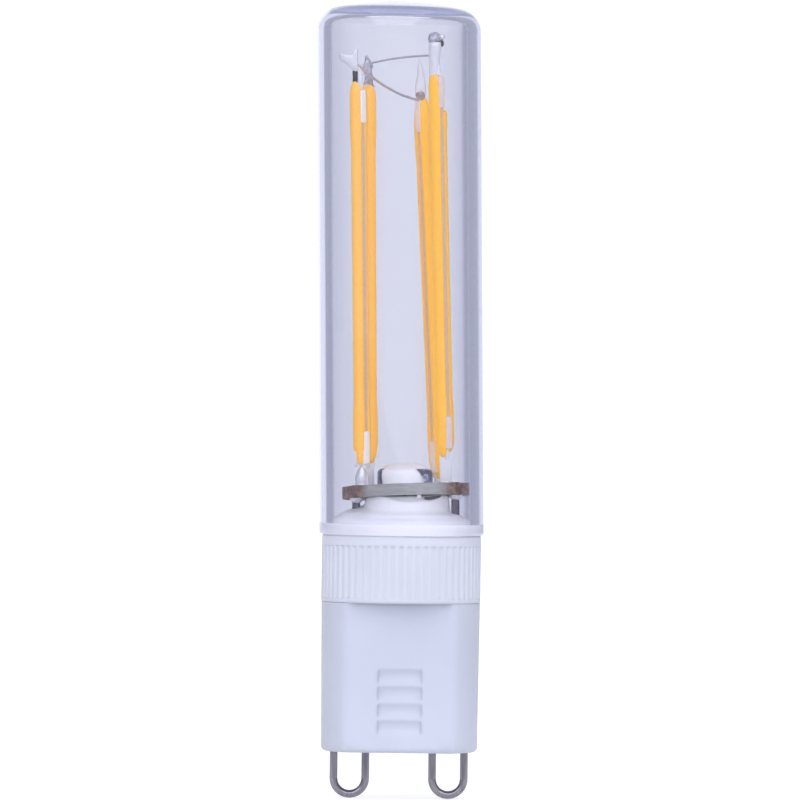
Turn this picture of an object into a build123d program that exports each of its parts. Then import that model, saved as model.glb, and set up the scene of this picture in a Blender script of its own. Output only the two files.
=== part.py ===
from build123d import *

import os
from functools import cache
from math import cos, radians, sin, tan

# LED capsule bulb on two looped pins. Millimetres.
# Origin: centre of the base's bottom face. +Z runs up to the glass, X along the pins, front is -Y.

# Base housing
BODY_HEIGHT = 13.6
BODY_STEP = 0.15
BODY_DRAFT = 0.5
FLAT_INSET = 1.93
FLAT_EDGE_RADIUS = 0.7
FOOT_EDGE_RADIUS = 0.5
COLLAR_HEIGHT = 6.15
COLLAR_STEP = 0.285
COLLAR_EDGE_RADIUS = 0.18
BASE_WALL = 1.2
BASE_FLOOR = 1.4

# Ribs around the collar: flutes with plain rims above and below
FLUTE_COUNT = 60
FLUTE_DEPTH = 0.11
FLUTE_RADIUS = 0.34
FLUTE_LOWER_RIM = 0.4
FLUTE_UPPER_RIM = 0.95

# Grip scoops on the two flats
SCOOP_COUNT = 4
SCOOP_WIDTH = 4.0
SCOOP_HEIGHT = 1.34
SCOOP_PITCH = 1.55
SCOOP_DEPTH = 0.26
SCOOP_LOWEST = 2.3

# Looped pins
PIN_PITCH = 9.0
PIN_WIRE = 0.73
PIN_LEG_PITCH = 2.9
PIN_REACH = 4.3
PIN_TAIL = 2.6
PIN_CLEARANCE = 0.03

# Glass capsule
GLASS_DIAMETER = 15.13
GLASS_WALL = 1.25
GLASS_LEAN = 1.0
GLASS_HEADROOM = 2.15
GLASS_RIM_RADIUS = 0.35
DOME_WALL = 1.15
DOME_RADIUS = 24.5
DOME_SHIFT = 0.6
DOME_CORNER = 2.2

# Filament board
BOARD_HEIGHT = 4.5
BOARD_THICKNESS = 1.05
BOARD_GAP = 0.5
BOARD_SHIFT = 0.4
BOARD_PITCH = 3.0
BOARD_ROLL = 1.5
BOARD_HOLE_GAP = 0.12

# Storage capacitor
CAN_DIAMETER = 5.1
CAN_LENGTH = 10.5
CAN_ABOVE_BOARD = 1.6
CAN_SHIFT = 0.25
CAN_EDGE_RADIUS = 0.45
CAN_LEAD_WIRE = 0.5
CAN_LEAD_PITCH = 2.0
CAN_LEAD_LENGTH = 5.0
CAN_CRIMP_HEIGHT = 1.6
CAN_CRIMP_RADIUS = 0.3

# White silicone
ADHESIVE_FIT = 0.02
ADHESIVE_DEPTH = 2.4
ADHESIVE_WALL_HEIGHT = 0.75
ADHESIVE_SHOULDER = 2.4
ADHESIVE_LOBE = 0.95
BOSS_DIAMETER = 7.6
BOSS_SHIFT = 0.5
NOTCH_WIDTH = 5.4
NOTCH_DEPTH = 0.72
NOTCH_SHIFT = 0.9
CAP_CROWN = 0.55
CROWN_INSET = 0.25
DRIP_WIDTH = 3.8
DRIP_DEPTH = 0.6
DRIP_SHIFT = -0.05
DRIP_RISE = 0.8
DRIP_ROUNDING = 0.6

# LED filaments: a strip with a half-round phosphor bead on each face
FILAMENT_LENGTH = 35.0
BEAD_RADIUS = 0.59
BEAD_END_RADIUS = 0.66
BEAD_TIP = 0.9
TIP_FULLNESS = 0.75
BEAD_SWELL_LENGTH = 4.4
BEAD_BLEND = 1.6
STRIP_WIDTH = 1.2
STRIP_THICKNESS = 0.3
FOOT_INSET = 1.2

# End tabs of the filaments
CLIP_THICKNESS = 0.64
CLIP_LENGTH = 2.95
CLIP_WEB = 0.3
CLIP_INSET = 0.85
TONGUE_WIDTH = 0.82
SHOULDER_WIDTH = 1.2
SHOULDER_HEIGHT = 0.6
TAB_SHEET = 0.24
TAB_STUB = 0.5
BARREL_DIAMETER = 1.06
BARREL_WALL = 0.2
BARREL_HEIGHT = 3.75
BARREL_SHIFT = -0.2
BARREL_GAP = 0.36
BARREL_EDGE = 0.34

# Outlines of the bent heads, as (across, up) from the upper end of the bead
FLAG_RIGHT_TIP = (-0.1, 2.98)
FLAG_DIP = (-0.91, 2.42)
FLAG_LEFT_TIP = (-1.88, 2.49)
FLAG_LEFT_CORNER = (-1.85, 2.0)
FLAG_ROOT_LEFT = 0.75
FLAG_ROOT_RIGHT = 1.1
EYELET_CORNERS = ((-0.62, 2.2), (-0.5, 2.6), (0.2, 2.7))
EYELET_ROOT_LEFT = 1.1
EYELET_ROOT_RIGHT = 2.2
EYE_PLACE = (-0.12, 2.2)
EYE_RADIUS = 0.19
LEAF_TIP = 3.6
LEAF_BELLY = (0.56, 1.1)
LEAF_SHOULDER = (0.3, 2.5)
LEAF_CREASE = 0.22

# Wires and solder
JUMPER_WIRE = 0.18
SAG_PLACE = 0.44
UPPER_SAG = -0.13
LOWER_SAG = 0.66
UPPER_START = (0.3, 2.0)
UPPER_END = 1.6
LOWER_START = (0.15, 1.4)
LEAD_WIRE = 0.72
LEAD_CLEARANCE = 0.06
LEAD_BEND = 1.4
LEAD_START = 7.6
LEAD_RISE = 4.6
LEAD_INSET = 1.365
LEAD_DEPTH = -1.3
LEAD_TIP = 0.15
LEAD_SOLDER_RADIUS = 0.62
FOOT_SOLDER_RADIUS = 0.78
SOLDER_HEIGHT = 0.5
SOLDER_CLEARANCE = 0.04
TEARDROP_HEIGHT = 1.55
TEARDROP_RADIUS = 0.6
DROP_FULLNESS = 0.72
KNOT_RADIUS = 0.45
KNOT_HEIGHT = 0.25
KNOT_FORWARD = 0.36
BALL_RADIUS = 0.25
BALL_HEIGHT = 3.1

# Driver board and its parts
DRIVER_HEIGHT = 9.6
DRIVER_THICKNESS = 0.8
DRIVER_SLOT_DEPTH = 0.4
DRIVER_SLOT_GAP = 0.05
CHIP_LEAD = 0.2
RECTIFIER_WIDTH = 4.7
RECTIFIER_HEIGHT = 3.9
RECTIFIER_GAP = 0.45
RECTIFIER_SPOT = (-0.9, 7.2)
CHIP_SIZE = (4.9, 1.5, 3.8)
CHIP_SPOT = (-0.9, 2.6)
RESISTOR_SIZE = (1.6, 0.6, 3.2)
RESISTOR_SPOT = (3.7, 5.0)
PAD_WIDTH = 1.3
PAD_HEIGHT = 1.2
PAD_COVER = 0.22
WIRE_STANDOFF = 0.08

# Each filament: bearing of its foot, height of its bead over the board, width of its tongue,
# lean of its top and turn of its strip
FILAMENTS = {
    "front_left": {"bearing": 215.0, "rise": 1.85, "tongue": 0.5, "lean": (-0.20, 0.25), "turn": 50.0},
    "front_right": {"bearing": -40.0, "rise": 2.35, "tongue": 1.15, "lean": (-0.40, -0.20), "turn": 60.0},
    "back_left": {"bearing": 135.0, "rise": 2.0, "tongue": 0.7, "lean": (0.0, -0.15), "turn": -25.0},
    "back_right": {"bearing": 45.0, "rise": 0.68, "tongue": 0.5, "lean": (-1.40, 0.20), "turn": -82.0},
}

# Worked out from the sizes above
SEAT = BODY_HEIGHT + COLLAR_HEIGHT
COLLAR_DIAMETER = GLASS_DIAMETER - 2 * COLLAR_STEP
BODY_DIAMETER = COLLAR_DIAMETER - 2 * BODY_STEP
FLAT_DEPTH = BODY_DIAMETER - 2 * FLAT_INSET
BORE_RADIUS = GLASS_DIAMETER / 2 - GLASS_WALL
MOUTH_RADIUS = COLLAR_DIAMETER / 2 - BASE_WALL
BOARD_RADIUS = BORE_RADIUS - BOARD_GAP
FOOT_RADIUS = BOARD_RADIUS - FOOT_INSET
LEAD_OFFSET_LEFT = BOARD_SHIFT - BOARD_RADIUS + LEAD_INSET
LEAD_OFFSET_RIGHT = BOARD_SHIFT + BOARD_RADIUS - LEAD_INSET
LEAD_OFFSETS = (LEAD_OFFSET_LEFT, LEAD_OFFSET_RIGHT)
PIN_RADIUS = PIN_WIRE / 2
TALLEST_RISE = max(placing["rise"] for placing in FILAMENTS.values())
DOME_INSIDE = BOARD_HEIGHT + TALLEST_RISE + FILAMENT_LENGTH + BARREL_HEIGHT + GLASS_HEADROOM
DRIVER_FRONT = PIN_RADIUS + WIRE_STANDOFF
DRIVER_BACK = DRIVER_FRONT + DRIVER_THICKNESS
RECTIFIER_DEPTH = FLAT_DEPTH / 2 - BASE_WALL - DRIVER_BACK - RECTIFIER_GAP
RECTIFIER_SIZE = (RECTIFIER_WIDTH, RECTIFIER_DEPTH, RECTIFIER_HEIGHT)
FAR = 4 * GLASS_DIAMETER

STAND = (Align.CENTER, Align.CENTER, Align.MIN)
HANG = (Align.CENTER, Align.CENTER, Align.MAX)

# The glass and what is inside it lean together, and the board tips up at the front
TOWER = Pos(0, 0, SEAT) * Rot(0, -GLASS_LEAN, 0)
BOARD_TOP = TOWER * Pos(0, 0, BOARD_HEIGHT) * Rot(-BOARD_PITCH, -BOARD_ROLL, 0)
BELOW_SEAT = Pos(0, 0, SEAT) * Box(FAR, FAR, FAR, align=HANG)
BELOW_BOARD_TOP = BOARD_TOP * Box(FAR, FAR, FAR, align=HANG)
ABOVE_BOARD_UNDERSIDE = BOARD_TOP * Pos(0, 0, -BOARD_THICKNESS) * Box(FAR, FAR, FAR, align=STAND)


def round_wire(path, diameter):
    """A wire of one diameter along a path."""
    return sweep(Plane(path @ 0, z_dir=path % 0) * Circle(diameter / 2), path=path)


def plate(outline, thickness):
    """A flat plate with its outline given as (across, up), centred on its own sheet."""
    return extrude(Plane.XZ * make_face(outline), thickness / 2, both=True)


def cap_of_sphere(radius, height):
    """A shallow dome of one base radius and height, standing on z = 0."""
    ball = (radius**2 + height**2) / (2 * height)
    return Pos(0, 0, height - ball) * Sphere(ball) & Cylinder(FAR, FAR, align=STAND)


# Base

def flat_at(height):
    """Distance of the drafted flats from the middle, at a height over the bottom face."""
    return FLAT_DEPTH / 2 + height * tan(radians(BODY_DRAFT))


def body_outline(inset):
    """The round body with its two flats, seen from below."""
    outline = Circle(BODY_DIAMETER / 2 - inset) & Rectangle(FAR, FLAT_DEPTH - 2 * inset)
    return fillet(outline.vertices(), FLAT_EDGE_RADIUS)


def fluted_collar():
    """The collar with a band of flutes between two plain rims."""
    radius = COLLAR_DIAMETER / 2
    band_height = COLLAR_HEIGHT - FLUTE_LOWER_RIM - FLUTE_UPPER_RIM
    groove = Circle(FLUTE_RADIUS)
    grooves = PolarLocations(radius + FLUTE_RADIUS - FLUTE_DEPTH, FLUTE_COUNT) * groove
    band = extrude(Circle(radius) - grooves, band_height)
    lower_rim = Cylinder(radius, FLUTE_LOWER_RIM, align=STAND)
    lower_rim = fillet(lower_rim.edges().group_by(Axis.Z)[0], COLLAR_EDGE_RADIUS)
    upper_rim = Cylinder(radius, FLUTE_UPPER_RIM, align=STAND)
    upper_rim = fillet(upper_rim.edges().group_by(Axis.Z)[-1], COLLAR_EDGE_RADIUS)
    band_start = BODY_HEIGHT + FLUTE_LOWER_RIM
    return (
        Pos(0, 0, BODY_HEIGHT) * lower_rim
        + Pos(0, 0, band_start) * band
        + Pos(0, 0, band_start + band_height) * upper_rim
    )


def grip_scoops():
    """Rows of shallow round scoops, cut into both flats."""
    radius = (SCOOP_HEIGHT**2 / 4 + SCOOP_DEPTH**2) / (2 * SCOOP_DEPTH)
    scoops = []
    for row in range(SCOOP_COUNT):
        height = SCOOP_LOWEST + row * SCOOP_PITCH
        middle = flat_at(height) + radius - SCOOP_DEPTH
        for side in (-1, 1):
            scoops.append(Pos(0, side * middle, height) * Rot(0, 90, 0) * Cylinder(radius, SCOOP_WIDTH))
    return scoops


def pin_leg_places():
    """The four places across the base where a pin leg goes through the floor."""
    half = PIN_LEG_PITCH / 2
    return [side * PIN_PITCH / 2 + leg * half for side in (-1, 1) for leg in (-1, 1)]


@cache
def base_housing():
    body = extrude(body_outline(0), BODY_HEIGHT, taper=-BODY_DRAFT)
    body = fillet(body.faces().sort_by(Axis.Z)[0].edges(), FOOT_EDGE_RADIUS)
    shell = body + fluted_collar()
    shell -= grip_scoops()
    cavity_height = BODY_HEIGHT + BASE_WALL - BASE_FLOOR
    shell -= Pos(0, 0, BASE_FLOOR) * extrude(body_outline(BASE_WALL), cavity_height)
    shell -= Pos(0, 0, BODY_HEIGHT + BASE_WALL) * Cylinder(MOUTH_RADIUS, FAR, align=STAND)
    slot_width = DRIVER_THICKNESS + 2 * DRIVER_SLOT_GAP
    slot_length = driver_width() + 2 * DRIVER_SLOT_GAP
    slot = Box(slot_length, slot_width, BODY_HEIGHT - BASE_FLOOR, align=STAND)
    shell -= Pos(0, (DRIVER_FRONT + DRIVER_BACK) / 2, BASE_FLOOR) * slot
    hole = Cylinder(PIN_RADIUS + PIN_CLEARANCE, FAR, align=HANG)
    hole_top = BASE_FLOOR + PIN_TAIL + PIN_CLEARANCE
    shell -= [Pos(place, 0, hole_top) * hole for place in pin_leg_places()]
    return shell


@cache
def pin(side):
    """One wire pin: two legs through the floor and a round loop below it."""
    middle = side * PIN_PITCH / 2
    bend = PIN_LEG_PITCH / 2
    loop_start = PIN_RADIUS + bend - PIN_REACH
    top = BASE_FLOOR + PIN_TAIL
    left = middle - bend
    right = middle + bend
    path = Wire([
        Line((left, 0, top), (left, 0, loop_start)),
        ThreePointArc((left, 0, loop_start), (middle, 0, loop_start - bend), (right, 0, loop_start)),
        Line((right, 0, loop_start), (right, 0, top)),
    ])
    return round_wire(path, PIN_WIRE)


# Driver

def driver_width():
    return 2 * (BODY_DIAMETER / 2 - BASE_WALL + DRIVER_SLOT_DEPTH) - 2 * DRIVER_SLOT_GAP


def driver_board():
    middle = (DRIVER_FRONT + DRIVER_BACK) / 2
    return Pos(0, middle, BASE_FLOOR) * Box(driver_width(), DRIVER_THICKNESS, DRIVER_HEIGHT, align=STAND)


def surface_part(size, spot):
    """A moulded part on the back of the driver board, with a flat lead along each end."""
    width, depth, height = size
    across, up = spot
    body = Box(width, depth, height, align=(Align.CENTER, Align.MIN, Align.CENTER))
    body = fillet(body.faces().sort_by(Axis.Y)[-1].edges(), CHIP_LEAD)
    lead = Box(width + 4 * CHIP_LEAD, CHIP_LEAD, height / 2, align=(Align.CENTER, Align.MIN, Align.CENTER))
    return Pos(across, DRIVER_BACK, BASE_FLOOR + up) * (body + lead)


def lead_path(offset):
    """From the driver board up past the capacitor and through the filament board."""
    start_depth = DRIVER_FRONT - WIRE_STANDOFF - LEAD_WIRE / 2
    side = 1 if offset > 0 else -1
    start = side * PIN_PITCH / 2
    bend_top = SEAT - ADHESIVE_DEPTH
    tip = BOARD_TOP * Pos(offset, LEAD_DEPTH, LEAD_TIP)
    return FilletPolyline(
        (start, start_depth, LEAD_START),
        (start, start_depth, LEAD_START + LEAD_RISE),
        (offset, LEAD_DEPTH, bend_top),
        tip.position,
        radius=LEAD_BEND,
    )


@cache
def feed_lead(offset):
    return round_wire(lead_path(offset), LEAD_WIRE)


def driver_solder():
    """Solder blocks that hold the pin tails, the feed leads and the capacitor leads on the board."""
    pin_height = BASE_FLOOR + PIN_TAIL - PAD_HEIGHT
    can_height = capacitor_bottom() - CAN_LEAD_LENGTH
    inner_leg = (PIN_PITCH - PIN_LEG_PITCH) / 2
    wires = [pin(-1), pin(1), storage_capacitor()] + [feed_lead(offset) for offset in LEAD_OFFSETS]
    joints = Part()
    for side in (-1, 1):
        pads = [
            (side * inner_leg, pin_height, PIN_WIRE),
            (side * PIN_PITCH / 2, LEAD_START, LEAD_WIRE),
            (CAN_SHIFT + side * CAN_LEAD_PITCH / 2, can_height, CAN_LEAD_WIRE),
        ]
        for across, height, wire in pads:
            depth = wire + WIRE_STANDOFF + PAD_COVER
            block = Box(PAD_WIDTH, depth, PAD_HEIGHT, align=(Align.CENTER, Align.MAX, Align.MIN))
            joints += Pos(across, DRIVER_FRONT, height) * block - wires
    return joints


# Capacitor and silicone

def capacitor_bottom():
    return SEAT + BOARD_HEIGHT + CAN_ABOVE_BOARD - CAN_LENGTH


@cache
def storage_capacitor():
    can = Cylinder(CAN_DIAMETER / 2, CAN_LENGTH, align=STAND)
    can = fillet(can.edges().filter_by(GeomType.CIRCLE), CAN_EDGE_RADIUS)
    can -= Pos(0, 0, CAN_CRIMP_HEIGHT) * Torus(CAN_DIAMETER / 2, CAN_CRIMP_RADIUS)
    lead_depth = DRIVER_FRONT - WIRE_STANDOFF - CAN_LEAD_WIRE / 2
    lead = Cylinder(CAN_LEAD_WIRE / 2, CAN_LEAD_LENGTH + CAN_EDGE_RADIUS, align=HANG)
    for side in (-1, 1):
        can += Pos(side * CAN_LEAD_PITCH / 2, lead_depth, CAN_EDGE_RADIUS) * lead
    return Pos(CAN_SHIFT, 0, capacitor_bottom()) * can


def neck_adhesive():
    """The silicone plug: a disc in the mouth of the housing, a sloped shoulder and a boss under the board."""
    outer = BORE_RADIUS - ADHESIVE_FIT
    boss_radius = BOSS_DIAMETER / 2
    lobe = ADHESIVE_WALL_HEIGHT + ADHESIVE_LOBE
    profile = make_face(Curve() + [
        Polyline((0, 0), (outer, 0), (outer, ADHESIVE_WALL_HEIGHT)),
        TangentArc((outer, ADHESIVE_WALL_HEIGHT), (outer - ADHESIVE_LOBE, lobe), tangent=(0, 1)),
        Polyline((outer - ADHESIVE_LOBE, lobe), (boss_radius, ADHESIVE_SHOULDER), (0, ADHESIVE_SHOULDER), (0, 0)),
    ])
    inside_glass = TOWER * revolve(Plane.XZ * profile, Axis.Z) - BELOW_SEAT
    boss = TOWER * Pos(BOSS_SHIFT, 0, lobe) * Cylinder(boss_radius, BOARD_HEIGHT - lobe, align=STAND)
    in_mouth = Pos(0, 0, SEAT) * Cylinder(MOUTH_RADIUS - ADHESIVE_FIT, ADHESIVE_DEPTH, align=HANG)
    plug = inside_glass + boss + in_mouth - ABOVE_BOARD_UNDERSIDE
    notch_radius = (NOTCH_WIDTH**2 / 4 + NOTCH_DEPTH**2) / (2 * NOTCH_DEPTH)
    notch = Rot(90, 0, 0) * Cylinder(notch_radius, FAR, align=STAND)
    underside = BOARD_HEIGHT - BOARD_THICKNESS
    plug -= TOWER * Pos(NOTCH_SHIFT, 0, underside + notch_radius - NOTCH_DEPTH) * notch
    plug -= [storage_capacitor()] + lead_domes(SOLDER_CLEARANCE)
    return plug - [feed_lead(offset) for offset in LEAD_OFFSETS]


def capacitor_adhesive():
    """A crown of silicone on the can, running down to the board at the front and the back."""
    top = capacitor_bottom() + CAN_LENGTH
    crown_radius = CAN_DIAMETER / 2 - CROWN_INSET
    crown = cap_of_sphere(crown_radius, CAP_CROWN + CAN_EDGE_RADIUS)
    crown = Pos(CAN_SHIFT, 0, top - CAN_EDGE_RADIUS) * crown
    drip_radius = DRIP_WIDTH / 2
    run_top = CAP_CROWN * DRIP_RISE
    run = Cylinder(drip_radius, CAN_ABOVE_BOARD + BOARD_THICKNESS + run_top, align=HANG)
    run = fillet(run.edges().group_by(Axis.Z)[-1], drip_radius * DRIP_ROUNDING)
    reach = CAN_DIAMETER / 2 + DRIP_DEPTH - drip_radius
    blob = crown
    for side in (-1, 1):
        blob += Pos(DRIP_SHIFT, side * reach, top + run_top) * run
    return blob - storage_capacitor() - BELOW_BOARD_TOP


def filament_board():
    board = BOARD_TOP * Pos(BOARD_SHIFT, 0, 0) * Cylinder(BOARD_RADIUS, BOARD_THICKNESS, align=HANG)
    board -= Pos(CAN_SHIFT, 0, 0) * Cylinder(CAN_DIAMETER / 2 + BOARD_HOLE_GAP, FAR, align=STAND)
    lead_hole = LEAD_WIRE + 2 * LEAD_CLEARANCE
    return board - [round_wire(lead_path(offset), lead_hole) for offset in LEAD_OFFSETS]


def lead_domes(extra):
    """Domes under the filament board around the feed leads, larger than the solder by an extra."""
    dome = cap_of_sphere(LEAD_SOLDER_RADIUS + extra, SOLDER_HEIGHT + extra)
    under = BOARD_TOP * Pos(0, 0, -BOARD_THICKNESS)
    return [under * Pos(offset, LEAD_DEPTH, 0) * Rot(180, 0, 0) * dome for offset in LEAD_OFFSETS]


def lead_solder():
    """The solder of the feed leads under the filament board."""
    return Part() + lead_domes(0) - [feed_lead(offset) for offset in LEAD_OFFSETS]


# Glass

def capsule(radius, top, dome_radius, corner):
    """A round rod with a gently domed end whose crown sits a little to one side."""
    rod = Pos(0, 0, -GLASS_WALL) * Cylinder(radius, FAR, align=STAND)
    bullet = Sphere(dome_radius) + Cylinder(dome_radius, FAR, align=HANG)
    rod = rod & (Pos(-DOME_SHIFT, 0, top - dome_radius) * bullet)
    rim = rod.faces().sort_by(Axis.Z)[-1].edges()
    return fillet(rim, corner)


def glass_envelope():
    outside = capsule(GLASS_DIAMETER / 2, DOME_INSIDE + DOME_WALL, DOME_RADIUS, DOME_CORNER)
    inside = capsule(BORE_RADIUS, DOME_INSIDE, DOME_RADIUS - DOME_WALL, DOME_CORNER - DOME_WALL / 2)
    glass = TOWER * (outside - inside) - BELOW_SEAT
    rim = glass.edges().group_by(Axis.Z)[0].sort_by(SortBy.LENGTH)[-1]
    return fillet(rim, GLASS_RIM_RADIUS)


# Filaments

def foot_place(placing, height):
    """Place over the spot where a filament stands on the board."""
    bearing = radians(placing["bearing"])
    return BOARD_TOP * Pos(BOARD_SHIFT + FOOT_RADIUS * cos(bearing), FOOT_RADIUS * sin(bearing), height)


def filament_frame(placing):
    """Frame at the lower end of a filament's bead: X across the strip, Z along it."""
    turn = radians(placing["turn"])
    lean_x, lean_y = placing["lean"]
    foot = foot_place(placing, placing["rise"])
    along = (TOWER * Pos(lean_x, lean_y, FILAMENT_LENGTH)).position - TOWER.position
    return Plane(foot.position, x_dir=(cos(turn), -sin(turn), 0), z_dir=along).location


def front_frame(placing, height):
    """Frame on a filament's own line at a height over its lower end, facing the front."""
    foot = filament_frame(placing).position
    place = (filament_frame(placing) * Pos(0, 0, height)).position
    top = (filament_frame(placing) * Pos(0, 0, FILAMENT_LENGTH)).position
    return Plane(place, x_dir=(1, 0, 0), z_dir=top - foot).location


def head_frame(placing):
    """Frame at the upper end of a filament's bead, facing the front."""
    return front_frame(placing, FILAMENT_LENGTH)


def at_top(shape):
    """The same thing turned over to the upper end of the filament."""
    return Pos(0, 0, FILAMENT_LENGTH) * Rot(180, 0, 0) * shape


@cache
def bead():
    """A half-round phosphor bead with swollen ends, with pockets for the two clips."""
    swell = BEAD_SWELL_LENGTH
    blend = swell + BEAD_BLEND
    top = FILAMENT_LENGTH
    full = TIP_FULLNESS * BEAD_END_RADIUS
    flat = (1 - TIP_FULLNESS) * BEAD_TIP
    profile = make_face(Curve() + [
        ThreePointArc((BEAD_END_RADIUS, BEAD_TIP), (full, flat), (0, 0)),
        Line((BEAD_END_RADIUS, BEAD_TIP), (BEAD_END_RADIUS, swell)),
        Line((BEAD_END_RADIUS, swell), (BEAD_RADIUS, blend)),
        Line((BEAD_RADIUS, blend), (BEAD_RADIUS, top - blend)),
        Line((BEAD_RADIUS, top - blend), (BEAD_END_RADIUS, top - swell)),
        Line((BEAD_END_RADIUS, top - swell), (BEAD_END_RADIUS, top - BEAD_TIP)),
        ThreePointArc((BEAD_END_RADIUS, top - BEAD_TIP), (full, top - flat), (0, top)),
        Line((0, top), (0, 0)),
    ])
    rod = revolve(Plane.XZ * profile, Axis.Z)
    half = rod - Box(FAR, FAR, 2 * FAR, align=(Align.CENTER, Align.MAX, Align.CENTER))
    half = Pos(0, STRIP_THICKNESS / 2, 0) * half
    pocket = Pos(0, 0, CLIP_INSET) * Box(FAR, CLIP_THICKNESS, CLIP_LENGTH, align=STAND)
    return half - [pocket, at_top(pocket)]


def substrate():
    """The flat strip between the two beads, from clip to clip."""
    end = CLIP_INSET + CLIP_WEB
    return Pos(0, 0, end) * Box(STRIP_WIDTH, STRIP_THICKNESS, FILAMENT_LENGTH - 2 * end, align=STAND)


@cache
def clip():
    """A folded end clip, open at both sides, that grips the end of the strip."""
    block = Box(STRIP_WIDTH, CLIP_THICKNESS, CLIP_LENGTH, align=STAND)
    slot = Pos(0, 0, CLIP_WEB) * Box(FAR, STRIP_THICKNESS, CLIP_LENGTH, align=STAND)
    return Pos(0, 0, CLIP_INSET) * (block - slot)


@cache
def bottom_tab(name):
    """Clip, a stub between the bead ends, and a shouldered tongue that stands on the filament board."""
    placing = FILAMENTS[name]
    stub = Pos(0, 0, CLIP_INSET) * Box(TONGUE_WIDTH, TAB_SHEET, CLIP_INSET + SHOULDER_HEIGHT / 2, align=HANG)
    shoulder = Box(SHOULDER_WIDTH, TAB_SHEET, SHOULDER_HEIGHT, align=HANG)
    tongue = Box(placing["tongue"], TAB_SHEET, 2 * placing["rise"], align=HANG)
    foot = front_frame(placing, 0) * (shoulder + tongue)
    return filament_frame(placing) * (clip() + stub) + foot - BELOW_BOARD_TOP


def tongue_root():
    """The two lower corners that every flat head shares."""
    half = TONGUE_WIDTH / 2
    return [(half, -TAB_STUB), (-half, -TAB_STUB)]


def flag_head():
    """Sheet end folded out to one side like a flag with two corners."""
    half = TONGUE_WIDTH / 2
    outline = Curve() + [
        Polyline(FLAG_RIGHT_TIP, (half, FLAG_ROOT_RIGHT), *tongue_root(), (-half, FLAG_ROOT_LEFT),
                 FLAG_LEFT_CORNER, FLAG_LEFT_TIP),
        ThreePointArc(FLAG_LEFT_TIP, FLAG_DIP, FLAG_RIGHT_TIP),
    ]
    return plate(outline, TAB_SHEET)


def eyelet_head():
    """Bent sheet end with an eye for the wire."""
    half = TONGUE_WIDTH / 2
    outline = Polyline(*tongue_root(), (-half, EYELET_ROOT_LEFT), *EYELET_CORNERS, (half, EYELET_ROOT_RIGHT),
                       close=True)
    across, up = EYE_PLACE
    eye = Pos(across, 0, up) * Rot(90, 0, 0) * Cylinder(EYE_RADIUS, FAR)
    return plate(outline, TAB_SHEET) - eye


def barrel_head():
    """Sheet end rolled into a closed barrel with a seam at the back."""
    height = BARREL_HEIGHT + TAB_STUB
    barrel = Cylinder(BARREL_DIAMETER / 2, height, align=STAND)
    barrel = fillet(barrel.edges().group_by(Axis.Z)[-1], BARREL_EDGE)
    hollow = Cylinder(BARREL_DIAMETER / 2 - BARREL_WALL, height - BARREL_WALL, align=STAND)
    seam = Box(BARREL_GAP, BARREL_DIAMETER, height - BARREL_DIAMETER, align=(Align.CENTER, Align.MIN, Align.MIN))
    return Pos(BARREL_SHIFT, 0, -TAB_STUB) * (barrel - hollow - seam)


def leaf_head():
    """Pointed sheet end, creased along its middle."""
    belly, belly_height = LEAF_BELLY
    shoulder, shoulder_height = LEAF_SHOULDER
    outline = Polyline((0, LEAF_TIP), (shoulder, shoulder_height), (belly, belly_height), *tongue_root(),
                       (-belly, belly_height), (-shoulder, shoulder_height), close=True)
    rise = LEAF_CREASE
    crease = Polyline((-belly, rise), (0, -rise), (belly, rise), (belly, rise + TAB_SHEET), (0, TAB_SHEET - rise),
                      (-belly, rise + TAB_SHEET), close=True)
    fold = Pos(0, 0, -TAB_STUB) * extrude(make_face(crease), FAR)
    return plate(outline, FAR) & fold


HEADS = {
    "front_left": flag_head,
    "front_right": barrel_head,
    "back_left": eyelet_head,
    "back_right": leaf_head,
}


@cache
def top_tab(name):
    """Clip, a short stub between the bead ends, and the bent head that the jumper is fixed to."""
    placing = FILAMENTS[name]
    stub = Pos(0, 0, CLIP_INSET) * Box(TONGUE_WIDTH, TAB_SHEET, CLIP_INSET + TAB_STUB, align=HANG)
    lower = filament_frame(placing) * at_top(clip() + stub)
    return lower + (head_frame(placing) * HEADS[name]() - bead_group(name))


# Wires and solder at the tops and feet of the filaments

def knot_place():
    """Middle of the solder knot in front of the leaf's root."""
    return Pos(0, -KNOT_FORWARD, KNOT_HEIGHT)


@cache
def tab_solder():
    """Solder on the barrel's shoulder and at the root of the leaf."""
    beside = BARREL_SHIFT + BARREL_DIAMETER / 2 + BALL_RADIUS - BARREL_WALL / 2
    ball = head_frame(FILAMENTS["front_right"]) * Pos(beside, 0, BALL_HEIGHT) * Sphere(BALL_RADIUS)
    root = head_frame(FILAMENTS["back_right"]) * knot_place() * Sphere(KNOT_RADIUS)
    root = root - top_tab("back_right") - bead_group("back_right")
    return Part() + [ball - top_tab("front_right"), root]


@cache
def bead_group(name):
    frame = filament_frame(FILAMENTS[name])
    return [frame * bead(), frame * Rot(0, 0, 180) * bead()]


def head_point(name, across, up):
    return (head_frame(FILAMENTS[name]) * Pos(across, 0, up)).position


def jumper(start, end, sag):
    """A thin wire between two points, hanging below the straight line, or arched over it."""
    low = start + (end - start) * SAG_PLACE - Vector(0, 0, sag)
    return round_wire(Spline(start, low, end), JUMPER_WIRE)


def upper_jumper():
    start = head_point("back_left", *UPPER_START)
    end = head_point("front_right", BARREL_SHIFT - BARREL_DIAMETER / 2 + BARREL_WALL / 2, UPPER_END)
    return jumper(start, end, UPPER_SAG) - [top_tab("back_left"), top_tab("front_right")]


def lower_jumper():
    start = head_point("front_left", *LOWER_START)
    end = (head_frame(FILAMENTS["back_right"]) * knot_place()).position
    return jumper(start, end, LOWER_SAG) - [top_tab("front_left"), top_tab("back_right"), tab_solder()]


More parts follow.
